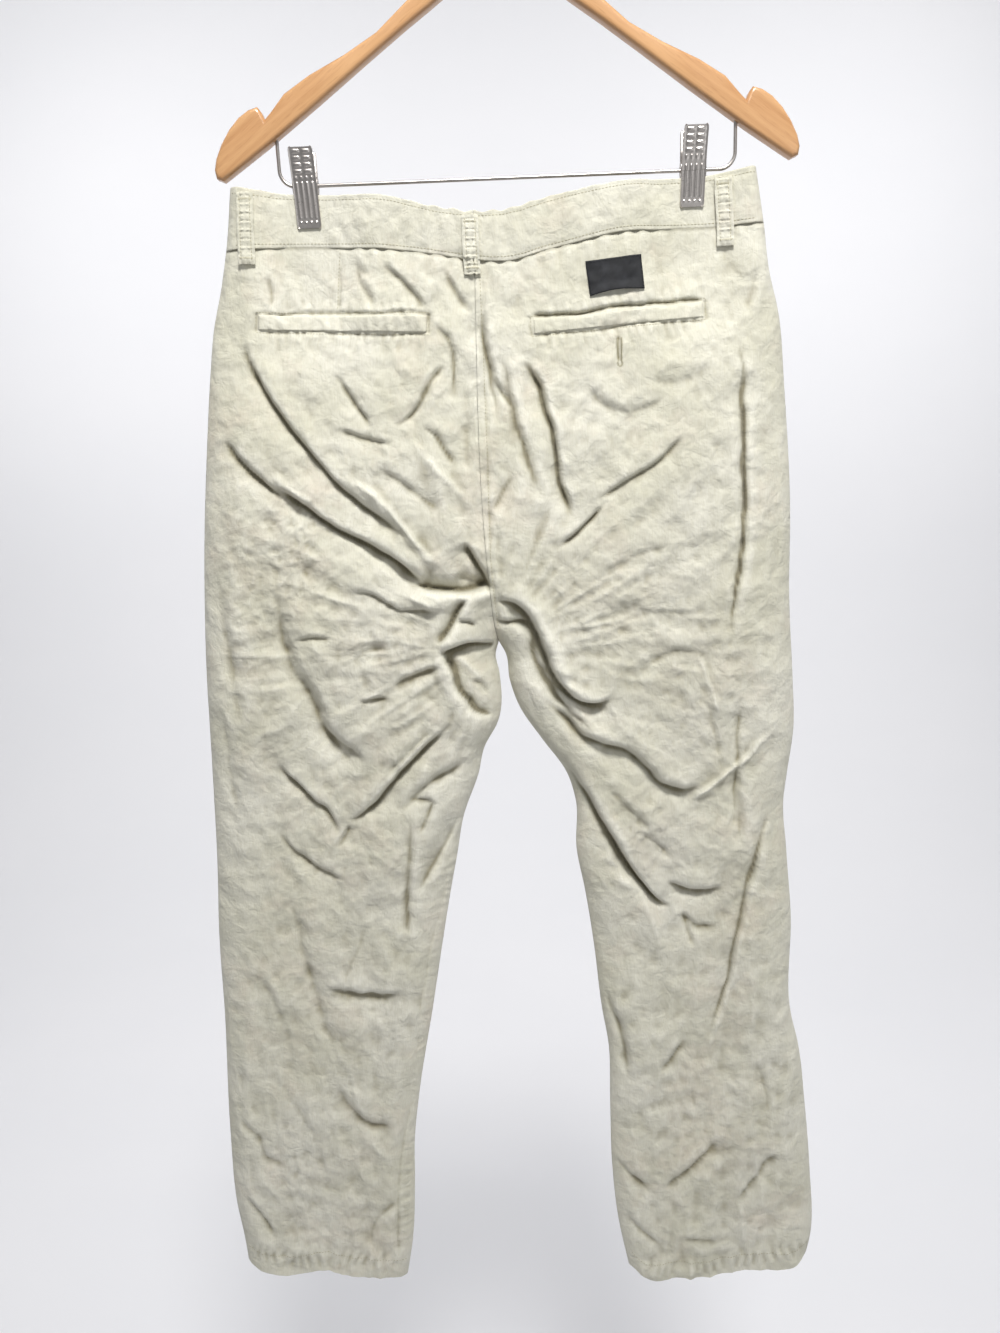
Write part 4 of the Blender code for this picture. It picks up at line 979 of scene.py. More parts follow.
def stand_off(side, face, x, z):
    """The cloth's distance from the middle plane before it creases, and how far from a
    seam that is, from 0 at the seam to 1."""
    held = np.minimum(z, WAIST_LEVEL)
    roll = smooth(SECTIONS, held, 3)
    depth = smooth(SECTIONS, held, face.column)
    out = 1.0 - np.clip(np.abs(x - smooth(side.outer, z)) / roll, 0.0, 1.0)
    into = 1.0 - np.clip(np.abs(inner_edge(side, z) - x) / roll, 0.0, 1.0)
    curve = (SEAT_CURVE_TOP - z) / (SEAT_CURVE_TOP - CROTCH)
    closing = np.clip(curve, 0.0, 1.0) ** 2
    fullness = np.sqrt(1.0 - out * out) * np.sqrt(1.0 - closing * into * into)
    fade = smoothstep((z - PINCH_FADE) / (WAIST_LEVEL - PINCH_FADE))
    pinch = np.zeros_like(x)
    for clip in CLIPS:
        away = (x - (clip.x_top + clip.x_bottom) / 2.0) / PINCH_WIDTH
        pinch = pinch + PINCH_SHARE * np.exp(-(away**4))
    return fullness * depth * (1.0 - pinch * fade), fullness


def spread(column, width, roll, face):
    """Distance from the outer edge of a column of cells, crowded where the cloth turns."""
    edge = face.edge_columns
    last = 2 * edge + face.flat_columns
    near = roll * (1.0 - np.cos(np.clip(column / edge, 0.0, 1.0) * math.pi / 2.0))
    far = roll * (1.0 - np.cos(np.clip((last - column) / edge, 0.0, 1.0) * math.pi / 2.0))
    middle = (width - 2.0 * roll) * np.clip((column - edge) / face.flat_columns, 0.0, 1.0)
    return near + middle + roll - far


def column_x(side, face, column, z):
    outer = smooth(side.outer, z)
    width = np.abs(inner_edge(side, z) - outer)
    roll = smooth(SECTIONS, np.minimum(z, WAIST_LEVEL), 3)
    start = slant_start(face, z)
    away = start + spread(column, width, roll, face) * (width - start) / width
    return outer - side.sign * away


def waist_level(face, x, field):
    """Height of the band's edge (1) or seam (2), a little lower at the front's middle."""
    left = OUTER_LEFT[1][1]
    right = OUTER_RIGHT[1][1]
    share = np.clip((x - left) / (right - left), 0.0, 1.0)
    drop = FRONT_DROP * np.sin(math.pi * share) if face is FRONT else 0.0
    return smooth(WAIST, x, field) - drop


def row_level(side, face, column, row):
    """Height of a row of cells, bent to the waist seam at the top and the hem below."""
    seam = waist_level(face, column_x(side, face, column, np.full_like(column, WAIST_LEVEL)), 2)
    hem = smooth(side.hem, column_x(side, face, column, np.full_like(column, HEM_LEVEL)))
    upper, middle, lower = np.cumsum(face.rows)
    first = seam + (SLANT_END - seam) * row / upper
    share = np.clip((row - upper) / (middle - upper), 0.0, 1.0)
    second = SLANT_END + (CROTCH - SLANT_END) * share
    third = CROTCH + (hem - CROTCH) * (row - middle) / (lower - middle)
    return np.where(row <= upper, first, np.where(row <= middle, second, third))


def puckers(x, z, line, pitch, height, reach, seed):
    """Short gathers that a tight seam draws up on both sides of its line."""
    along, away, length = beside_line(x, z, line)
    uneven = 0.6 * pitch * rumple(x, z, 3.0 * pitch, 2, seed)
    ends = smoothstep(along / 12.0) * smoothstep((length - along) / 12.0)
    fade = np.exp(-((away / reach) ** 2)) * ends
    return height * np.sin(2.0 * math.pi * (along + uneven) / pitch) * fade


# Where the sewing has drawn the cloth up: line, pitch, height and reach.
Gather = namedtuple("Gather", "face line pitch height reach")
GATHERS = (
    Gather("back", ((-203, -333), (-67, -339)), 8.0, 0.5, 7.0),
    Gather("back", ((-203, -354), (-68, -361)), 7.0, 0.55, 8.0),
    Gather("back", ((14, -345), (152, -336)), 7.5, 0.45, 7.0),
    Gather("back", ((14, -367), (152, -359)), 8.0, 0.55, 8.0),
    Gather("back", ((-222, -292), (-130, -294), (-60, -302), (-28, -308)), 17.0, 0.7, 12.0),
    Gather("back", ((-27, -308), (25, -303), (80, -292), (198, -288)), 15.0, 0.7, 12.0),
    Gather(
        "back",
        ((-66, -800), (-80, -868), (-97, -939), (-112, -1042), (-126, -1112), (-135, -1169), (-141,
            -1235)),
        8.5,
        0.95,
        8.0,
    ),
    Gather("back", ((-300, -1224), (-247, -1236), (-197, -1240), (-145, -1248)), 9.0, 0.8, 10.0),
    Gather("back", ((88, -1262), (150, -1268), (222, -1258), (265, -1246)), 10.0, 0.9, 10.0),
    Gather("back", ((-29, -420), (-28, -500), (-27, -600)), 14.0, 0.4, 8.0),
    Gather("front", ((-300, -1224), (-247, -1236), (-197, -1240), (-145, -1248)), 9.5, 0.8, 10.0),
    Gather("front", ((88, -1262), (150, -1268), (222, -1258), (265, -1246)), 9.0, 0.8, 10.0),
    Gather("front", ((-222, -297), (-130, -298), (-60, -306), (-28, -310)), 16.0, 0.6, 12.0),
    Gather("front", ((-27, -312), (25, -307), (80, -297), (198, -292)), 17.0, 0.6, 12.0),
)


def cloth_surface(side, face, x, z):
    """The outer face of a leg with all its creases, gathers and rumpling, how near each
    place is to the bottom of a sharp crease or to the band's seam, for a painted dark line of shade,
    and how much it has been crushed, for painted shade on the crumples."""
    stand, fullness = stand_off(side, face, x, z)
    below = smoothstep((WAIST_LEVEL - z) / 26.0)
    inward, sharp = crease_depth(face, x, z)
    inward = inward * fullness**1.3 * below
    for gather in GATHERS:
        if gather.face == face.name:
            line = np.array(gather.line, float)
            near = (x > line[:, 0].min() - 30) & (x < line[:, 0].max() + 30)
            near &= (z > line[:, 1].min() - 30) & (z < line[:, 1].max() + 30)
            if near.any():
                drawn = puckers(x[near], z[near], gather.line, *gather[2:], 5.0)
                inward[near] += drawn * fullness[near] ** 0.5
    seed = 20.0 + face.sign
    soft = 3.6 * rumple(x, z, 85.0, 2, seed, 1.6)
    hand = 1.3 * rumple(x, z, 21.0, 3, seed + 4.0, 1.2)
    ridged = 2.6 * (0.3 - np.abs(rumple(x, z, 34.0, 3, seed + 8.0, 1.2)))
    # Strain from the crotch fans out over the seat and the thighs; below the knees the
    # cloth hangs in long soft flutes.
    from_x = x - CENTRE_X
    from_z = z - CROTCH
    reach = np.hypot(from_x, from_z)
    turn = np.arctan2(from_z, from_x) * 62.0
    fanned = 0.32 - np.abs(rumple(turn, reach, 11.0, 2, seed + 12.0, 9.0))
    near_crotch = smoothstep((reach - 30.0) / 50.0) * smoothstep((330.0 - reach) / 150.0)
    flutes = 0.3 - np.abs(rumple(x, z, 24.0, 2, seed + 16.0, 4.5))
    low = smoothstep((-860.0 - z) / 120.0)
    crushed = np.zeros_like(x)
    # How much painted shade greys each crumpled patch, set by the crumples' strength.
    crumple_shade = np.zeros_like(x)
    for crumple in CRUMPLES:
        if crumple.face == face.name:
            away = ((x - crumple.x) / crumple.wide) ** 2 + ((z - crumple.z) / crumple.tall) ** 2
            near = away < 3.0
            if near.any():
                folds = 0.3 - np.abs(rumple(x[near], z[near], crumple.size, 3, seed + 20.0))
                strength = crumple.height * np.exp(-1.5 * away[near])
                crushed[near] += strength * folds
                crumple_shade[near] += 0.3 * strength
    ripple = soft + hand + ridged + crushed + 3.6 * fanned * near_crotch + 3.4 * flutes * low
    ripple = ripple * fullness * below
    seam = np.exp(-(((waist_level(face, x, 2) - z) / 2.4) ** 2)) * smoothstep(fullness * 3.0)
    inward = inward + 1.3 * seam
    stand = stand - inward + ripple
    # No crease may reach the other side of the leg.
    floor = 2.2 * np.minimum(fullness * 3.0, 1.0)
    stand = floor + np.logaddexp(0.0, (stand - floor) / 1.2) * 1.2
    stand = np.where(fullness < 0.02, 0.0, stand) * smoothstep(fullness / 0.08)
    sharp = sharp * fullness * below
    # The band's seam gets the same painted dark line of shade as a sharp crease.
    return face.sign * (SEAM_GAP / 2.0 + stand), np.maximum(sharp, 0.8 * seam), crumple_shade


# How far round a point the cloth is averaged, in mm. Pieces with fewer cells across than
# a back leg are darkened less in their hollows, which on the front came out blotchy: the
# power was chosen.
HOLLOW_REACH = 5.6
FINE_ACROSS = 164
HOLLOW_POWER = 1.6


def cloth_mesh(name, place_at, cells):
    """A sheet of cloth over the unit square, with its own thread map and a note of where
    it is hollow, which sets painted shade. place_at gives the points in millimetres for shares across
    and down, and for a creased sheet how near each is to a sharp crease and how crushed it is, which set
    painted shade too."""
    shape, across, down = unit_grid(name, *cells)
    placed = place_at(across, down)
    points = placed[:, :3]
    move_to(shape, points * MM)
    mesh = mesh_of(shape, name, 70.0)
    for column, word in ((3, "crease"), (4, "crushed")):
        value = placed[:, column] if placed.shape[1] > column else np.zeros(len(points))
        note = mesh.attributes.new(word, "FLOAT", "POINT")
        note.data.foreach_set("value", value.astype(np.float32))
    order = np.lexsort((across.round(6), down.round(6)))
    grid = points[order].reshape(cells[1] + 1, cells[0] + 1, 3)
    rightward = np.linalg.norm(np.diff(grid, axis=1), axis=2)
    downward = np.linalg.norm(np.diff(grid, axis=0), axis=2)
    weft = np.pad(np.cumsum(rightward, axis=1), ((0, 0), (1, 0)))
    weft = weft - weft[:, cells[0] // 2][:, None]
    warp = np.pad(np.cumsum(downward, axis=0), ((1, 0), (0, 0)))
    threads = np.empty((len(points), 2))
    threads[order, 0] = weft.ravel() * MM
    threads[order, 1] = warp.ravel() * MM
    corners = np.empty(len(mesh.loops), np.int32)
    mesh.loops.foreach_get("vertex_index", corners)
    layer = mesh.uv_layers.new(name="threads")
    layer.data.foreach_set("uv", threads[corners].astype(np.float32).ravel())
    # Hollows: how far each point lies below the mean of the cloth round it. The twill paints shade into
    # its colour by this.
    normals = np.cross(np.gradient(grid, axis=1), np.gradient(grid, axis=0))
    normals /= np.maximum(np.linalg.norm(normals, axis=2, keepdims=True), 1e-9)
    mean = grid.copy()
    passes = int(np.clip(round(HOLLOW_REACH / float(np.median(downward))), 1, 4))
    for _ in range(passes):
        padded = np.pad(mean, ((2, 2), (2, 2), (0, 0)), mode="edge")
        total = sum(
            padded[2 + a : padded.shape[0] - 2 + a, 2 + b : padded.shape[1] - 2 + b]
            for a in (-2, -1, 0, 1, 2)
            for b in (-2, -1, 0, 1, 2)
        )
        mean = total / 25.0
    hollow = ((mean - grid) * normals).sum(axis=2)
    outward = np.sign(normals[..., 1].sum()) or 1.0
    return mesh, order, hollow * outward


def add_cloth(name, place_at, cells, face_sign, thick, material):
    """A piece of cloth: its outer face facing out, and its thickness, if any, behind it."""
    mesh, order, hollow = cloth_mesh(name, place_at, cells)
    note = mesh.attributes.new("hollow", "FLOAT", "POINT")
    value = np.empty(len(mesh.vertices), np.float32)
    strength = min(1.0, (FINE_ACROSS / cells[0]) ** -HOLLOW_POWER)
    value[order] = (hollow * face_sign * strength).ravel()
    edge_rows = np.ones((cells[1] + 1, cells[0] + 1))
    edge_rows[:2] = edge_rows[-2:] = 0.0
    edge_rows[:, :2] = edge_rows[:, -2:] = 0.0
    value[order] *= edge_rows.ravel()
    note.data.foreach_set("value", value)
    normals = np.array([polygon.normal.y for polygon in mesh.polygons])
    if normals.sum() * face_sign < 0:
        mesh.flip_normals()
    piece = add_piece(name, mesh, material)
    if thick:
        body = piece.modifiers.new("cloth", "SOLIDIFY")
        body.thickness = thick * MM
        body.offset = -1.0
        body.use_even_offset = False
    return piece


# The weave is a group, because the twill and the label both use it.
group = bpy.data.node_groups.new("twill_weave", "ShaderNodeTree")
group.interface.new_socket("Vector", in_out="INPUT", socket_type="NodeSocketVector")
group.interface.new_socket("Lines", in_out="INPUT", socket_type="NodeSocketFloat")
group.interface.new_socket("Slub", in_out="INPUT", socket_type="NodeSocketFloat")
group.interface.new_socket("Height", in_out="OUTPUT", socket_type="NodeSocketFloat")
group.interface.new_socket("Slubs", in_out="OUTPUT", socket_type="NodeSocketFloat")
group_in = add_node(group, "NodeGroupInput")
group_out = add_node(group, "NodeGroupOutput")
lines = add_node(
    group,
    "ShaderNodeTexWave",
    wave_type="BANDS",
    bands_direction="DIAGONAL",
    inputs=[
        ("Vector", group_in.outputs["Vector"]),
        ("Scale", group_in.outputs["Lines"]),
        ("Distortion", 0.8),
        ("Detail", 1.0),
        ("Detail Scale", 1.5),
    ],
)
long_threads = add_node(
    group,
    "ShaderNodeMapping",
    inputs=[("Vector", group_in.outputs["Vector"]), ("Scale", (1.0, 0.12, 1.0))],
)
slubs = add_node(
    group,
    "ShaderNodeTexNoise",
    inputs=[
        ("Vector", long_threads.outputs[0]),
        ("Scale", group_in.outputs["Slub"]),
        ("Detail", 2.0),
    ],
)
both = add_node(
    group,
    "ShaderNodeMath",
    operation="MULTIPLY_ADD",
    inputs=[(0, slubs.outputs["Fac"]), (1, 0.7), (2, lines.outputs["Fac"])],
)
group.links.new(both.outputs[0], group_out.inputs["Height"])
group.links.new(slubs.outputs["Fac"], group_out.inputs["Slubs"])
twill_weave = group

twill, tree, shader = new_material("washed_twill", 0.9)
shader.inputs["Sheen Weight"].default_value = 0.18
shader.inputs["Sheen Roughness"].default_value = 0.6
shader.inputs["Specular IOR Level"].default_value = 0.22
place = add_node(tree, "ShaderNodeTexCoord")
threads = add_node(tree, "ShaderNodeUVMap", uv_map="threads")
weave = add_node(tree, "ShaderNodeGroup", node_tree=twill_weave)
tree.links.new(threads.outputs[0], weave.inputs["Vector"])
weave.inputs["Lines"].default_value = 560.0
weave.inputs["Slub"].default_value = 900.0
fade = add_node(
    tree,
    "ShaderNodeTexNoise",
    inputs=[("Vector", place.outputs["Object"]), ("Scale", 11.0), ("Detail", 4.0), ("Roughness", 0.6)],
)
warmth = add_node(
    tree,
    "ShaderNodeTexNoise",
    inputs=[("Vector", place.outputs["Object"]), ("Scale", 17.0), ("Detail", 5.0), ("Roughness", 0.7)],
)
base = add_node(tree, "ShaderNodeValToRGB", inputs=[(0, fade.outputs["Fac"])])
base.color_ramp.elements[0].position = 0.36
base.color_ramp.elements[0].color = linear(204, 201, 182)
base.color_ramp.elements[1].position = 0.62
base.color_ramp.elements[1].color = linear(216, 213, 198)
pink_share = add_node(
    tree,
    "ShaderNodeMapRange",
    inputs=[("Value", warmth.outputs["Fac"]), ("From Min", 0.52), ("From Max", 0.74), ("To Max", 0.5)],
)
tinted = add_node(
    tree,
    "ShaderNodeMix",
    data_type="RGBA",
    inputs=[(0, pink_share.outputs[0]), (6, base.outputs["Color"]), (7, linear(214, 201, 182))],
)
# Painted shade: the crumpled patches are greyed in speckles, standing in for the shade among their small
# folds.
crushed = add_node(tree, "ShaderNodeAttribute", attribute_name="crushed")
speckled = add_node(
    tree,
    "ShaderNodeTexNoise",
    inputs=[("Vector", place.outputs["Object"]), ("Scale", 36.0), ("Detail", 4.0), ("Roughness", 0.6)],
)
speckles = add_node(
    tree,
    "ShaderNodeMapRange",
    inputs=[("Value", speckled.outputs["Fac"]), ("From Min", 0.4), ("From Max", 0.66), ("To Max", 0.7)],
)
crumple_shade_share = add_node(
    tree,
    "ShaderNodeMath",
    operation="MULTIPLY",
    use_clamp=True,
    inputs=[(0, crushed.outputs["Fac"]), (1, speckles.outputs[0])],
)
crumple_shaded = add_node(
    tree,
    "ShaderNodeMix",
    data_type="RGBA",
    inputs=[(0, crumple_shade_share.outputs[0]), (6, tinted.outputs[2]), (7, linear(180, 171, 154))],
)
# Painted shade: the colour darkens towards a dark olive where the cloth lies in a hollow.
hollow = add_node(tree, "ShaderNodeAttribute", attribute_name="hollow")
deep = add_node(
    tree,
    "ShaderNodeMapRange",
    inputs=[("Value", hollow.outputs["Fac"]), ("From Min", 0.1), ("From Max", 1.9), ("To Max", 0.85)],
)
# Painted highlight: the colour lightens where the cloth stands proud of its surroundings.
proud_highlight_share = add_node(
    tree,
    "ShaderNodeMapRange",
    inputs=[
        ("Value", hollow.outputs["Fac"]),
        ("From Min", -0.25),
        ("From Max", -1.7),
        ("To Max", 0.6),
    ],
)
shaded = add_node(
    tree,
    "ShaderNodeMix",
    data_type="RGBA",
    inputs=[(0, deep.outputs[0]), (6, crumple_shaded.outputs[2]), (7, linear(132, 124, 98))],
)
proud_highlit = add_node(
    tree,
    "ShaderNodeMix",
    data_type="RGBA",
    inputs=[(0, proud_highlight_share.outputs[0]), (6, shaded.outputs[2]), (7, linear(238, 235, 221))],
)
# Painted shade: a dark line along the bottom of each deep, narrow crease and under the band's seam.
line = add_node(tree, "ShaderNodeAttribute", attribute_name="crease")
crease_shade_share = add_node(
    tree,
    "ShaderNodeMapRange",
    inputs=[("Value", line.outputs["Fac"]), ("From Min", 0.08), ("From Max", 1.0), ("To Max", 0.72)],
)
crease_shaded = add_node(
    tree,
    "ShaderNodeMix",
    data_type="RGBA",
    inputs=[(0, crease_shade_share.outputs[0]), (6, proud_highlit.outputs[2]), (7, linear(92, 86, 64))],
)
thread_share = add_node(
    tree,
    "ShaderNodeMapRange",
    inputs=[("Value", weave.outputs["Slubs"]), ("From Min", 0.4), ("From Max", 0.7), ("To Max", 0.22)],
)
threaded = add_node(
    tree,
    "ShaderNodeMix",
    data_type="RGBA",
    inputs=[(0, thread_share.outputs[0]), (6, crease_shaded.outputs[2]), (7, linear(176, 170, 140))],
)
tree.links.new(threaded.outputs[2], shader.inputs["Base Color"])
dull = add_node(
    tree,
    "ShaderNodeMapRange",
    inputs=[("Value", fade.outputs["Fac"]), ("To Min", 0.82), ("To Max", 0.95)],
)
tree.links.new(dull.outputs[0], shader.inputs["Roughness"])
handled = add_node(
    tree,
    "ShaderNodeTexNoise",
    inputs=[
        ("Vector", place.outputs["Object"]),
        ("Scale", 95.0),
        ("Detail", 5.0),
        ("Roughness", 0.62),
        ("Distortion", 0.4),
    ],
)
# Fine sharp wrinkles lie where a soft unevenness passes through its middle value.
uneven = add_node(
    tree,
    "ShaderNodeTexNoise",
    inputs=[
        ("Vector", place.outputs["Object"]),
        ("Scale", 34.0),
        ("Detail", 3.0),
        ("Roughness", 0.55),
        ("Distortion", 0.5),
    ],
)
off_middle = add_node(
    tree, "ShaderNodeMath", operation="SUBTRACT", inputs=[(0, uneven.outputs["Fac"]), (1, 0.5)]
)
wrinkled = add_node(
    tree, "ShaderNodeMath", operation="ABSOLUTE", inputs=[(0, off_middle.outputs[0])]
)
wrinkle_relief = add_node(
    tree,
    "ShaderNodeBump",
    inputs=[("Strength", 0.55), ("Distance", 0.005), ("Height", wrinkled.outputs[0])],
)
soft_relief = add_node(
    tree,
    "ShaderNodeBump",
    inputs=[
        ("Strength", 0.7),
        ("Distance", 0.0022),
        ("Height", handled.outputs["Fac"]),
        ("Normal", wrinkle_relief.outputs[0]),
    ],
)
relief = add_node(
    tree,
    "ShaderNodeBump",
    inputs=[
        ("Strength", 0.3),
        ("Distance", 0.00022),
        ("Height", weave.outputs["Height"]),
        ("Normal", soft_relief.outputs[0]),
    ],
)
tree.links.new(relief.outputs[0], shader.inputs["Normal"])


FINE_ROWS = 0.62
FINE_CELLS = 0.74


def leg_place(side, face):
    """Where each share across and down a leg panel lies, in millimetres."""

    def place_at(across, down):
        last = 2 * face.edge_columns + face.flat_columns
        column = across * last
        # The cells are smaller above the knee, where the creases are finer.
        fine = FINE_ROWS * down / FINE_CELLS
        coarse = 1.0 - (1.0 - FINE_ROWS) * (1.0 - down) / (1.0 - FINE_CELLS)
        row = np.where(down < FINE_CELLS, fine, coarse) * sum(face.rows)
        z = row_level(side, face, column, row)
        x = column_x(side, face, column, z)
        y, sharp, crumple_shade = cloth_surface(side, face, x, z)
        return np.stack([x, y, z, sharp, crumple_shade], axis=-1)

    return place_at


cloth_trees = {"back": [], "front": []}


def tree_of(piece):
    points = [corner.co.copy() for corner in piece.data.vertices]
    return BVHTree.FromPolygons(points, [tuple(face.vertices) for face in piece.data.polygons])


HEM_SHARE = 0.0147
HEM_CLOTH = 0.9


def hem_place(side, face):
    """The hem's turned-up cloth, close behind the last 22 mm of the leg."""
    leg_at = leg_place(side, face)

    def place_at(across, down):
        points = leg_at(across, 1.0 - HEM_SHARE * (1.0 - down))[:, :3]
        points[:, 1] -= face.sign * 0.35 * smoothstep(np.abs(points[:, 1]) / 3.0)
        points[:, 2] -= 0.5 * down
        return points

    return place_at


for side in SIDES:
    for face in (BACK, FRONT):
        name = f"{face.name}_leg_{side.name}"
        # The fine sheet behind is a single face: only its hem shows an edge.
        thick = CLOTH if face is FRONT else None
        leg = add_cloth(name, leg_place(side, face), LEG_CELLS[face.name], face.sign, thick, twill)
        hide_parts(f"{face.name}_panel_{side.name}")
        hem_name = f"{face.name}_hem_{side.name}"
        hem = add_cloth(hem_name, hem_place(side, face), (90, 12), face.sign, HEM_CLOTH, twill)
        cloth_trees[face.name].append(tree_of(leg))

# The front pockets: behind each slanted edge of a front leg lies a strip of the same
# twill that carries the pocket bag. It is sewn in at the waist and the side seam.
FACING_CELLS = (18, 70)
FACING_SET_BACK = 0.8


def facing_place(side):
    """Where each share of the strip lies, from the side seam in to the slanted edge."""

    def place_at(across, down):
        share = 1.0 - np.cos(across * math.pi / 2.0)
        top_x = side.outer[1][1] - side.sign * SLANT_TOP * share
        seam = waist_level(FRONT, top_x, 2)
        z = seam + (SLANT_END - seam) * down
        width = slant_start(FRONT, z) - SEAM_GAP
        x = smooth(side.outer, z) - side.sign * width * share
        y = cloth_surface(side, FRONT, x, z)[0] - FACING_SET_BACK * smoothstep(3.0 * share)
        return np.stack([x, y, z], axis=-1)

    return place_at


for side in SIDES:
    name = f"pocket_facing_{side.name}"
    facing = add_cloth(name, facing_place(side), FACING_CELLS, FRONT.sign, CLOTH, twill)
    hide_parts(f"front_pocket_facing_{side.name}")
    cloth_trees["front"].append(tree_of(facing))


# The waistband: two straight strips, each folded lengthways round a stiff lining, joined
# at the centre back and sewn to the legs. The left end laps over the right one in front,
# where the button is. Sewing it to the fuller legs has drawn it up at the centre back.
BAND_CELLS = (300, 22)
BAND_CLOTH = 1.8
BAND_PROUD = 0.7
BAND_ROLL = 12.0
BAND_LEAN = 4
LAP = 18.0
LAP_RAMP_START = 44.0
LAP_RAMP = 22.0


def clear_of_clips(x):
    """0 where a clip grips the band and 1 a little way off."""
    clear = np.ones_like(x)
    for clip in CLIPS:
        middle = (clip.x_top + clip.x_bottom) / 2.0
        clear = clear * (1.0 - np.exp(-(((x - middle) / 17.0) ** 4)))
    return clear


def band_place(side):
    """Where each share of half the band lies, from centre back round to centre front."""

    def place_at(across, down):
        toward = np.abs(across - 0.5) * 2.0
        waist = np.full_like(across, WAIST_LEVEL)
        outer = smooth(side.outer, waist)
        lap = np.where((across > 0.5) & (side.sign < 0), LAP, 0.0)
        width = np.abs(inner_edge(side, waist) - outer) + lap
        turned = BAND_ROLL * (1.0 - np.cos(np.clip(toward / 0.1, 0.0, 1.0) * math.pi / 2.0))
        away = turned + (width - BAND_ROLL) * np.clip((toward - 0.1) / 0.9, 0.0, 1.0)
        x = outer - side.sign * away
        at_back = across <= 0.5
        back, _ = stand_off(side, BACK, x, waist)
        front, _ = stand_off(side, FRONT, x, waist)
        stand = np.where(at_back, back, front)
        top = np.where(at_back, waist_level(BACK, x, 1), waist_level(FRONT, x, 1))
        seam = np.where(at_back, waist_level(BACK, x, 2), waist_level(FRONT, x, 2))
        near_back = np.exp(-(((x - CENTRE_X) / 46.0) ** 2)) * at_back
        top = top + 0.9 * near_back * np.sin(x * 0.42 + 0.8) + 0.5 * rumple(x, waist, 19.0, 2, 31.0)
        z = top + (seam - 0.6 - top) * down
        lean = np.clip((x - CENTRE_X) / (outer - CENTRE_X), 0.0, 1.0) ** BAND_LEAN
        leaned = x + (smooth(side.outer, z) - outer) * lean
        raised = smoothstep((x - CENTRE_X + LAP_RAMP_START) / LAP_RAMP)
        stand = stand + np.where(lap > 0.0, raised * (BAND_CLOTH + SEAM_GAP), 0.0)
        ease = clear_of_clips(x) * smoothstep(toward * 8.0)
        puff = BAND_PROUD + 0.55 * np.sin(math.pi * np.clip(down * 1.04, 0.0, 1.0)) ** 0.7
        wave = 1.3 * rumple(x, z, 22.0, 3, 33.0 + side.sign, 2.2)
        wave = wave + 0.8 * rumple(x, z, 10.0, 2, 37.0 + side.sign, 1.2)
        wave = wave + 0.85 * near_back * np.sin(x * 0.47 + 0.03 * (z + 280.0)) * (0.4 + 0.6 * down)
        # Two rows of stitches sink into it, close to its edges.
        for row in (0.09, 0.93):
            puff = puff - 0.35 * np.exp(-(((down - row) / 0.035) ** 2))
        y = SEAM_GAP / 2.0 + stand + (puff + wave) * ease
        return np.stack([leaned, np.where(at_back, -y, y), z], axis=-1)

    return place_at


for side in SIDES:
    name = f"band_{side.name}"
    mesh = cloth_mesh(name, band_place(side), BAND_CELLS)[0]
    note = mesh.attributes.new("hollow", "FLOAT", "POINT")
    note.data.foreach_set("value", np.zeros(len(mesh.vertices), np.float32))
    backs = [polygon for polygon in mesh.polygons if polygon.center.y < -6.0 * MM]
    if sum(polygon.normal.y for polygon in backs) > 0:
        mesh.flip_normals()
    band = add_piece(name, mesh, twill)
    body = band.modifiers.new("cloth", "SOLIDIFY")
    body.thickness = BAND_CLOTH * MM
    body.offset = -1.0
    folded = band.modifiers.new("folded_edge", "BEVEL")
    folded.width = 0.6 * MM
    folded.segments = 2
    folded.angle_limit = math.radians(60.0)
    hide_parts(f"waistband_{side.name}")
    for trees in cloth_trees.values():
        trees.append(tree_of(band))


# The back pockets: each mouth is a cut bound with a single welt, a narrow folded strip
# that fills the cut and is stitched round its two ends and its lower edge. The welt's
# upper edge is free, and the right one gapes a little.
WELT_CELLS = (104, 14)
WELTS = (
    ("left", ((-201, -338.5), (-68, -344.5), (-69, -357), (-202, -349.5)), 0.5),
    ("right", ((16, -350.5), (151, -341.5), (151, -353.5), (16, -361.5)), 1.5),
)
PATCH_GAP = 0.45


def stand_at(face, x, z):
    """How far the outermost cloth stands off the middle plane at each place."""
    found = np.zeros_like(x)
    for index, (at_x, at_z) in enumerate(zip(x.tolist(), z.tolist())):
        start = Vector((at_x, face.sign * 300.0, at_z)) * MM
        for tree in cloth_trees[face.name]:
            hit = tree.ray_cast(start, Vector((0.0, -face.sign, 0.0)))[0]
            if hit is not None:
                found[index] = max(found[index], face.sign * hit.y / MM)
    return found


def between(corners, across, down):
    """A place inside four corners, which go round clockwise from the upper left."""
    known = np.array(corners, float)
    upper = known[0] + (known[1] - known[0]) * across[:, None]
    lower = known[3] + (known[2] - known[3]) * across[:, None]
    return (upper + (lower - upper) * down[:, None]).T


def welt_place(corners, gape):
    """Where each share of a welt lies: padded, held down at the ends, open at the top."""

    def place_at(across, down):
        x, z = between(corners, across, down)
        rest = stand_at(BACK, x, z)
        ends = smoothstep(across * 18.0) * smoothstep((1.0 - across) * 18.0)
        sag = gape * np.sin(math.pi * across) * (1.0 - down)
        padded = 0.4 + 0.35 * np.sin(math.pi * np.clip(0.25 + down * 0.75, 0.0, 1.0))
        wave = 0.28 * np.sin(x * 0.75 + 2.0 * rumple(x, z, 26.0, 2, 41.0)) * (0.3 + down)
        y = rest + PATCH_GAP + (padded + wave + 0.8 * sag) * (0.35 + 0.65 * ends)
        return np.stack([x, -y, z - 0.7 * sag], axis=-1)

    return place_at


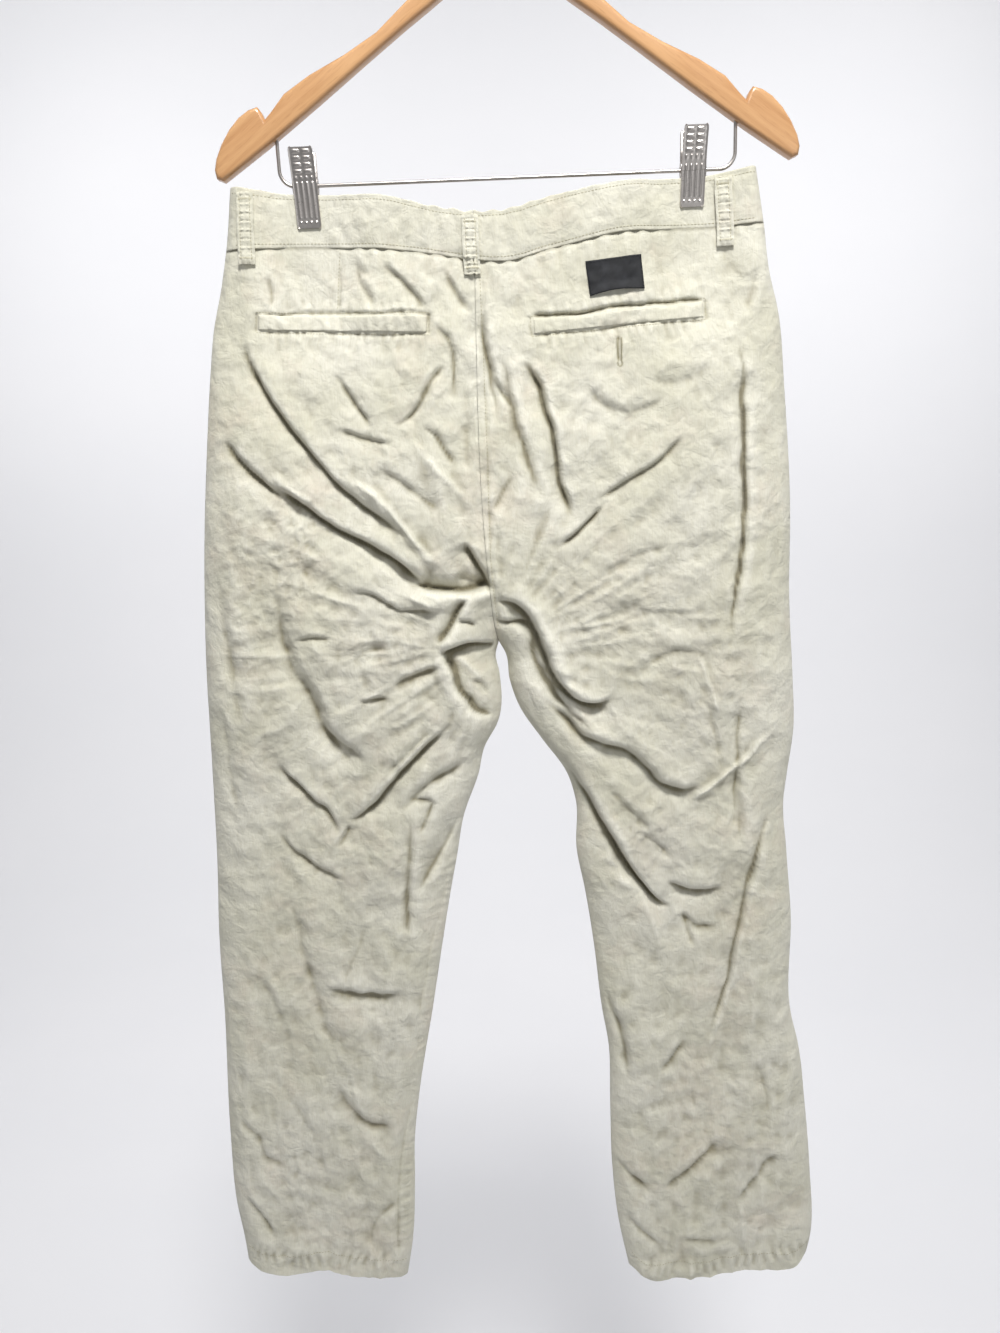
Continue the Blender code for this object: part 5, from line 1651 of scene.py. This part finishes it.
for word, corners, gape in WELTS:
    welt = add_cloth(f"welt_{word}", welt_place(corners, gape), WELT_CELLS, -1, 0.9, twill)
    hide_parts(f"back_pocket_welt_{word}")


# The label: a plain black woven tape, its ends folded in, sewn down at both sides under
# the band. Its lower edge has curled out with washing. It carries no lettering here.
LABEL_CORNERS = ((58, -309), (102, -305), (104, -331), (61, -335))

label_tape, tree, shader = new_material("black_label_tape", 0.75)
place = add_node(tree, "ShaderNodeTexCoord")
weave = add_node(tree, "ShaderNodeGroup", node_tree=twill_weave)
threads = add_node(tree, "ShaderNodeUVMap", uv_map="threads")
tree.links.new(threads.outputs[0], weave.inputs["Vector"])
weave.inputs["Lines"].default_value = 900.0
weave.inputs["Slub"].default_value = 1400.0
dusty = add_node(
    tree,
    "ShaderNodeTexNoise",
    inputs=[("Vector", place.outputs["Object"]), ("Scale", 130.0), ("Detail", 4.0)],
)
dust_share = add_node(
    tree,
    "ShaderNodeMapRange",
    inputs=[("Value", dusty.outputs["Fac"]), ("From Min", 0.45), ("From Max", 0.8), ("To Max", 0.6)],
)
tape_tint = add_node(
    tree,
    "ShaderNodeMix",
    data_type="RGBA",
    inputs=[(0, dust_share.outputs[0]), (6, linear(15, 16, 19)), (7, linear(44, 45, 50))],
)
tree.links.new(tape_tint.outputs[2], shader.inputs["Base Color"])
relief = add_node(
    tree,
    "ShaderNodeBump",
    inputs=[("Strength", 0.35), ("Distance", 0.0002), ("Height", weave.outputs["Height"])],
)
tree.links.new(relief.outputs[0], shader.inputs["Normal"])


def label_place(across, down):
    x, z = between(LABEL_CORNERS, across, down)
    rest = stand_at(BACK, x, z)
    curl = smoothstep((down - 0.62) / 0.38)
    middle = np.sin(math.pi * across)
    soft = 0.3 * rumple(x, z, 14.0, 2, 51.0) * smoothstep(across * 5.0) * smoothstep(5.0 - across * 5.0)
    y = rest + PATCH_GAP + 0.7 + soft + curl * (0.4 + 1.5 * middle)
    return np.stack([x, -y, z + 2.2 * curl * middle], axis=-1)


label = add_cloth("label", label_place, (44, 28), -1, 0.6, label_tape)
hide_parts("label_patch")


# The belt loops: five straps of twill, folded to three layers with two rows of stitches
# along them, sewn down over the band's upper edge and below its seam, with their lower
# ends tucked under.
LOOP_WIDTH = 13.0
LOOP_CLOTH = 1.8
LOOP_STAND = 1.0
LOOP_CELLS = (18, 72)
Loop = namedtuple("Loop", "name face x_top x_bottom z_top z_bottom")
LOOPS = (
    Loop("back", BACK, -31, -30.5, -272, -315),
    Loop("side_left", BACK, -203, -206, -249, -301),
    Loop("side_right", BACK, 166, 169, -251, -301),
    Loop("front_left", FRONT, -106, -106, -263, -311),
    Loop("front_right", FRONT, 76, 76, -263, -309),
)


def loop_place(loop):
    """Where each share of a loop lies: seated at both ends, standing off in between."""

    def place_at(across, down):
        offset = (across - 0.5) * LOOP_WIDTH
        x = loop.x_top + (loop.x_bottom - loop.x_top) * down + offset
        z = loop.z_top + (loop.z_bottom - loop.z_top) * down
        level = np.full_like(x, float(loop.z_top))
        first = stand_at(loop.face, loop.x_top + offset, level)
        last = stand_at(loop.face, loop.x_bottom + offset, level - loop.z_top + loop.z_bottom)
        rest = stand_at(loop.face, x, z)
        arch = smoothstep(4.0 * down) * smoothstep(4.0 * (1.0 - down))
        stand = np.maximum(rest, first + (last - first) * down) + PATCH_GAP + LOOP_STAND * arch
        drawn = 0.5 * np.sin(2.0 * math.pi * (z + 0.8 * np.sin(z)) / 4.4)
        drawn = drawn * np.exp(-(((np.abs(across - 0.5) - 0.17) / 0.13) ** 2))
        rows = np.exp(-(((np.abs(across - 0.5) - 0.3) / 0.05) ** 2))
        tuck = 0.9 * smoothstep((down - 0.86) / 0.04) + 0.5 * smoothstep((0.08 - down) / 0.04)
        round_over = 0.7 * (2.0 * np.abs(across - 0.5)) ** 4
        y = stand + LOOP_CLOTH + drawn - 0.5 * rows + tuck - round_over
        bent = x + 0.7 * rumple(x * 0.0 + loop.x_top, z, 21.0, 2, 61.0)
        return np.stack([bent, loop.face.sign * y, z], axis=-1)

    return place_at


loop_trees = {"back": [], "front": []}
for loop in LOOPS:
    strap = add_cloth(
        f"loop_{loop.name}", loop_place(loop), LOOP_CELLS, loop.face.sign, LOOP_CLOTH, twill
    )
    folded = strap.modifiers.new("folded_edge", "BEVEL")
    folded.width = 0.5 * MM
    folded.segments = 2
    folded.angle_limit = math.radians(60.0)
    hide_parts(f"belt_loop_{loop.name}")
    loop_trees[loop.face.name].append(tree_of(strap))


# The fly: a closed flap of the left front, straight at the centre and curved in to it at
# the bottom, over the zip. The button above it is sewn to the band's lapped end.
FLAP_WIDTH = 38.0
FLAP_OVER = 7.0
FLAP_CURVE_TOP = -425.0
FLAP_END = -458.0


def flap_place(across, down):
    top = waist_level(FRONT, np.full_like(down, CENTRE_X), 2) - 1.0
    z = top + (FLAP_END - top) * down
    turn = np.clip((FLAP_CURVE_TOP - z) / (FLAP_CURVE_TOP - FLAP_END), 0.0, 1.0)
    width = FLAP_WIDTH * np.sqrt(1.0 - turn * turn)
    x = CENTRE_X + FLAP_OVER - (width + FLAP_OVER) * (1.0 - across)
    return np.stack([x, stand_at(FRONT, x, z) + PATCH_GAP + 1.0, z], axis=-1)


flap = add_cloth("fly", flap_place, (30, 90), FRONT.sign, 1.0, twill)
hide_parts("fly_flap")
cloth_trees["front"].append(tree_of(flap))

horn, tree, shader = new_material("horn_button", 0.32)
shader.inputs["Coat Weight"].default_value = 0.3
place = add_node(tree, "ShaderNodeTexCoord")
wear = add_node(tree, "ShaderNodeGroup", node_tree=worn_surface)
tree.links.new(place.outputs["Object"], wear.inputs["Vector"])
wear.inputs["Size"].default_value = 160.0
horn_tint = add_node(
    tree,
    "ShaderNodeMix",
    data_type="RGBA",
    inputs=[(0, wear.outputs["Patches"]), (6, linear(186, 170, 140)), (7, linear(124, 104, 78))],
)
tree.links.new(horn_tint.outputs[2], shader.inputs["Base Color"])
BUTTON_THICK = 3.0
# Radius and height of the turned outline, from the middle of the dish to the back.
BUTTON_PROFILE = (
    (0.01, 0.7),
    (4.6, 0.75),
    (5.6, 1.15),
    (6.6, 1.5),
    (7.7, 1.4),
    (8.3, 0.9),
    (8.5, 0.1),
    (8.2, -0.8),
    (7.0, -1.4),
    (0.01, -1.5),
)
shape = bmesh.new()
ring = [shape.verts.new((radius * MM, height * MM, 0.0)) for radius, height in BUTTON_PROFILE]
edges = [shape.edges.new(pair) for pair in zip(ring, ring[1:])]
bmesh.ops.spin(
    shape,
    geom=ring + edges,
    cent=(0.0, 0.0, 0.0),
    axis=(0.0, 1.0, 0.0),
    angle=2.0 * math.pi,
    steps=40,
    use_merge=True,
)
bmesh.ops.remove_doubles(shape, verts=shape.verts, dist=0.03 * MM)
bmesh.ops.recalc_face_normals(shape, faces=shape.faces)
middle = np.array([CENTRE_X])
button_z = float(waist_level(FRONT, middle, 1)[0] + waist_level(FRONT, middle, 2)[0]) / 2.0
button_y = float(stand_at(FRONT, middle, np.array([button_z]))[0]) + PATCH_GAP + BUTTON_THICK / 2.0
bmesh.ops.translate(shape, verts=shape.verts, vec=Vector((CENTRE_X, button_y, button_z)) * MM)
button = add_piece("button", mesh_of(shape, "button"), horn)
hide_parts("waist_button")


# The sewing: cotton thread a shade darker than the cloth, in lines of lockstitch. Each
# stitch is a short soft bead that lies on the cloth and dips at both ends.
thread, tree, shader = new_material("cotton_thread", 0.8)
place = add_node(tree, "ShaderNodeTexCoord")
shade = add_node(
    tree,
    "ShaderNodeTexNoise",
    inputs=[("Vector", place.outputs["Object"]), ("Scale", 60.0), ("Detail", 3.0)],
)
thread_tint = add_node(
    tree,
    "ShaderNodeMix",
    data_type="RGBA",
    inputs=[(0, shade.outputs["Fac"]), (6, linear(190, 184, 156)), (7, linear(150, 143, 116))],
)
tree.links.new(thread_tint.outputs[2], shader.inputs["Base Color"])
Row = namedtuple("Row", "face line pitch")


def stitch_rows(name, rows, trees_of, material, turned=False):
    """Lines of stitches on the cloth, joined in one piece."""
    bead = bmesh.new()
    bmesh.ops.create_uvsphere(bead, u_segments=6, v_segments=4, radius=1.0)
    bead_points = np.array([corner.co for corner in bead.verts])
    bead_faces = [[corner.index for corner in face.verts] for face in bead.faces]
    bead.free()
    points = []
    faces = []
    for row in rows:
        line = smooth_line(row.line, 1.0)
        run = np.concatenate([[0.0], np.cumsum(np.hypot(*np.diff(line, axis=0).T))])
        count = max(int(run[-1] / row.pitch), 1)
        at = (np.arange(count) + 0.5) * run[-1] / count
        places = np.stack([np.interp(at, run, line[:, i]) for i in (0, 1)], axis=-1)
        nexts = np.stack([np.interp(at + 0.7, run, line[:, i]) for i in (0, 1)], axis=-1)
        lasts = np.stack([np.interp(at - 0.7, run, line[:, i]) for i in (0, 1)], axis=-1)
        for (x, z), (run_x, run_z) in zip(places.tolist(), (nexts - lasts).tolist()):
            start = Vector((x, row.face.sign * 300.0, z)) * MM
            best = None
            for cloth in trees_of[row.face.name]:
                hit, normal, _, _ = cloth.ray_cast(start, Vector((0.0, -row.face.sign, 0.0)))
                if hit is not None and (best is None or (hit.y - best[0].y) * row.face.sign > 0):
                    best = (hit, normal)
            if best is None:
                continue
            out = best[1] if best[1].y * row.face.sign > 0 else -best[1]
            ahead = Vector((run_x, 0.0, run_z))
            ahead = (ahead - out * ahead.dot(out)).normalized()
            beside = out.cross(ahead)
            if turned:
                ahead, beside = beside, ahead
            half = 0.9 if turned else 0.39 * row.pitch
            size = np.array([half, 0.27, 0.2]) * MM
            axes = np.array([ahead, beside, out])
            first = len(points) * len(bead_points)
            points.append((bead_points * size) @ axes + np.array(best[0] + out * 0.1 * MM))
            faces += [[first + corner for corner in face] for face in bead_faces]
    mesh = bpy.data.meshes.new(name)
    mesh.from_pydata(np.concatenate(points).tolist(), [], faces)
    mesh.shade_smooth()
    return add_piece(name, mesh, material)


def moved(line, right, up):
    return tuple((x + right, z + up) for x, z in line)


def round_box(corners, grow):
    """Four stitched sides round a welt or a label, grown outwards."""
    (ax, az), (bx, bz), (cx, cz), (dx, dz) = corners
    a = (ax - grow, az + grow)
    b = (bx + grow, bz + grow)
    c = (cx + grow, cz - grow)
    d = (dx - grow, dz - grow)
    return (a, b), (b, c), (c, d), (d, a)


rows = []
for _, corners, _ in WELTS:
    rows += [Row(BACK, line, 2.3) for line in round_box(corners, 2.2)]
rows += [Row(BACK, line, 2.3) for line in round_box(WELTS[0][1], 0.0)[1::2]]
hem_back_left = moved([(x + 2, z) for x, z in HEM_LEFT[1:-1]], 0.0, 22.0)
hem_back_right = moved(HEM_RIGHT[:-1], 0.0, 20.0)
for face in (BACK, FRONT):
    rows.append(Row(face, ((-299, -1221),) + hem_back_left + ((-141, -1245),), 2.8))
    rows.append(Row(face, hem_back_right + ((264, -1243),), 2.8))
rows.append(Row(BACK, ((-25.0, -318), (-25.0, -450), (-25.0, -560), (-22.0, -596)), 2.8))
rows.append(Row(BACK, ((-134, -293), (-137, -315), (-139, -336)), 2.6))
for side in SIDES:
    slant = []
    for z in (-292.0, -345.0, -398.0, -446.0):
        level = np.array([z])
        edge = smooth(side.outer, level) - side.sign * slant_start(FRONT, level)
        slant.append((float(edge[0]), z))
    rows.append(Row(FRONT, moved(slant, -side.sign * 2.0, 0.0), 2.7))
    rows.append(Row(FRONT, moved(slant, -side.sign * 8.0, 0.0), 2.7))
fly_run = (
    (CENTRE_X - 34.0, -312),
    (CENTRE_X - 34.0, -380),
    (CENTRE_X - 32.5, -420),
    (CENTRE_X - 24.0, -440),
    (CENTRE_X - 8.0, -452),
)
rows.append(Row(FRONT, fly_run, 2.7))
rows.append(Row(FRONT, moved(fly_run, 4.0, 1.5), 2.7))
stitch_rows("leg_stitching", rows, cloth_trees, thread)

rows = []
for face in (BACK, FRONT):
    for left, right in ((-214.0, CENTRE_X - 3.0), (CENTRE_X + 3.0, 191.0)):
        places = np.linspace(left, right, 14)
        for field, share in ((1, -3.6), (2, 2.4)):
            levels = waist_level(face, places, field) + share
            rows.append(Row(face, tuple(zip(places.tolist(), levels.tolist())), 2.7))
stitch_rows("band_stitching", rows, cloth_trees, thread)

rows = []
tacks = []
for loop in LOOPS:
    for offset in (-3.9, 3.9):
        line = ((loop.x_top + offset, loop.z_top - 2), (loop.x_bottom + offset, loop.z_bottom + 3))
        rows.append(Row(loop.face, line, 2.4))
    for z in (loop.z_top - 5.0, loop.z_bottom + 4.5):
        x = loop.x_top if z > -280.0 else loop.x_bottom
        tacks.append(Row(loop.face, ((x - 5.0, z), (x + 5.0, z)), 0.8))
stitch_rows("loop_stitching", rows, loop_trees, thread)
stitch_rows("bar_tacks", tacks, loop_trees, thread, turned=True)

# The buttonhole of the right back pocket: two columns of close stitches across a slit,
# round at the bottom. The slanted front pockets have bars of close stitches.
hole_x, hole_top, hole_end = 83.5, -367.0, -385.0
rows = [
    Row(BACK, ((hole_x - 1.5, hole_top), (hole_x - 1.2, hole_end)), 0.75),
    Row(BACK, ((hole_x + 1.5, hole_top), (hole_x + 1.2, hole_end)), 0.75),
]
for way in (-1.0, 1.0):
    eye = ((way * 1.4, 0.0), (way * 1.9, 2.4), (0.0, 4.2))
    rows.append(Row(BACK, tuple((hole_x + x, hole_end - z) for x, z in eye), 0.75))
for side in SIDES:
    for z in (-318.0, -440.0):
        level = np.array([z])
        edge = float((smooth(side.outer, level) - side.sign * slant_start(FRONT, level))[0])
        rows.append(Row(FRONT, ((edge - side.sign * 1.0, z), (edge - side.sign * 9.0, z)), 0.8))
stitch_rows("buttonhole", rows, cloth_trees, thread, turned=True)

sides = round_box(LABEL_CORNERS, -1.2)
label_tree = {"back": [tree_of(label)], "front": []}
rows = [Row(BACK, line, 2.2) for line in (sides[0], sides[1], sides[3])]
stitch_rows("label_stitching", rows, label_tree, label_tape)
button_tree = {"back": [], "front": [tree_of(button)]}
rows = []
for offset in (-1.4, 1.4):
    line = ((CENTRE_X - 1.7, button_z + offset), (CENTRE_X + 1.7, button_z + offset))
    rows += [Row(FRONT, moved(line, 0.0, step), 3.4) for step in (-0.35, 0.35)]
stitch_rows("button_thread", rows, button_tree, thread)
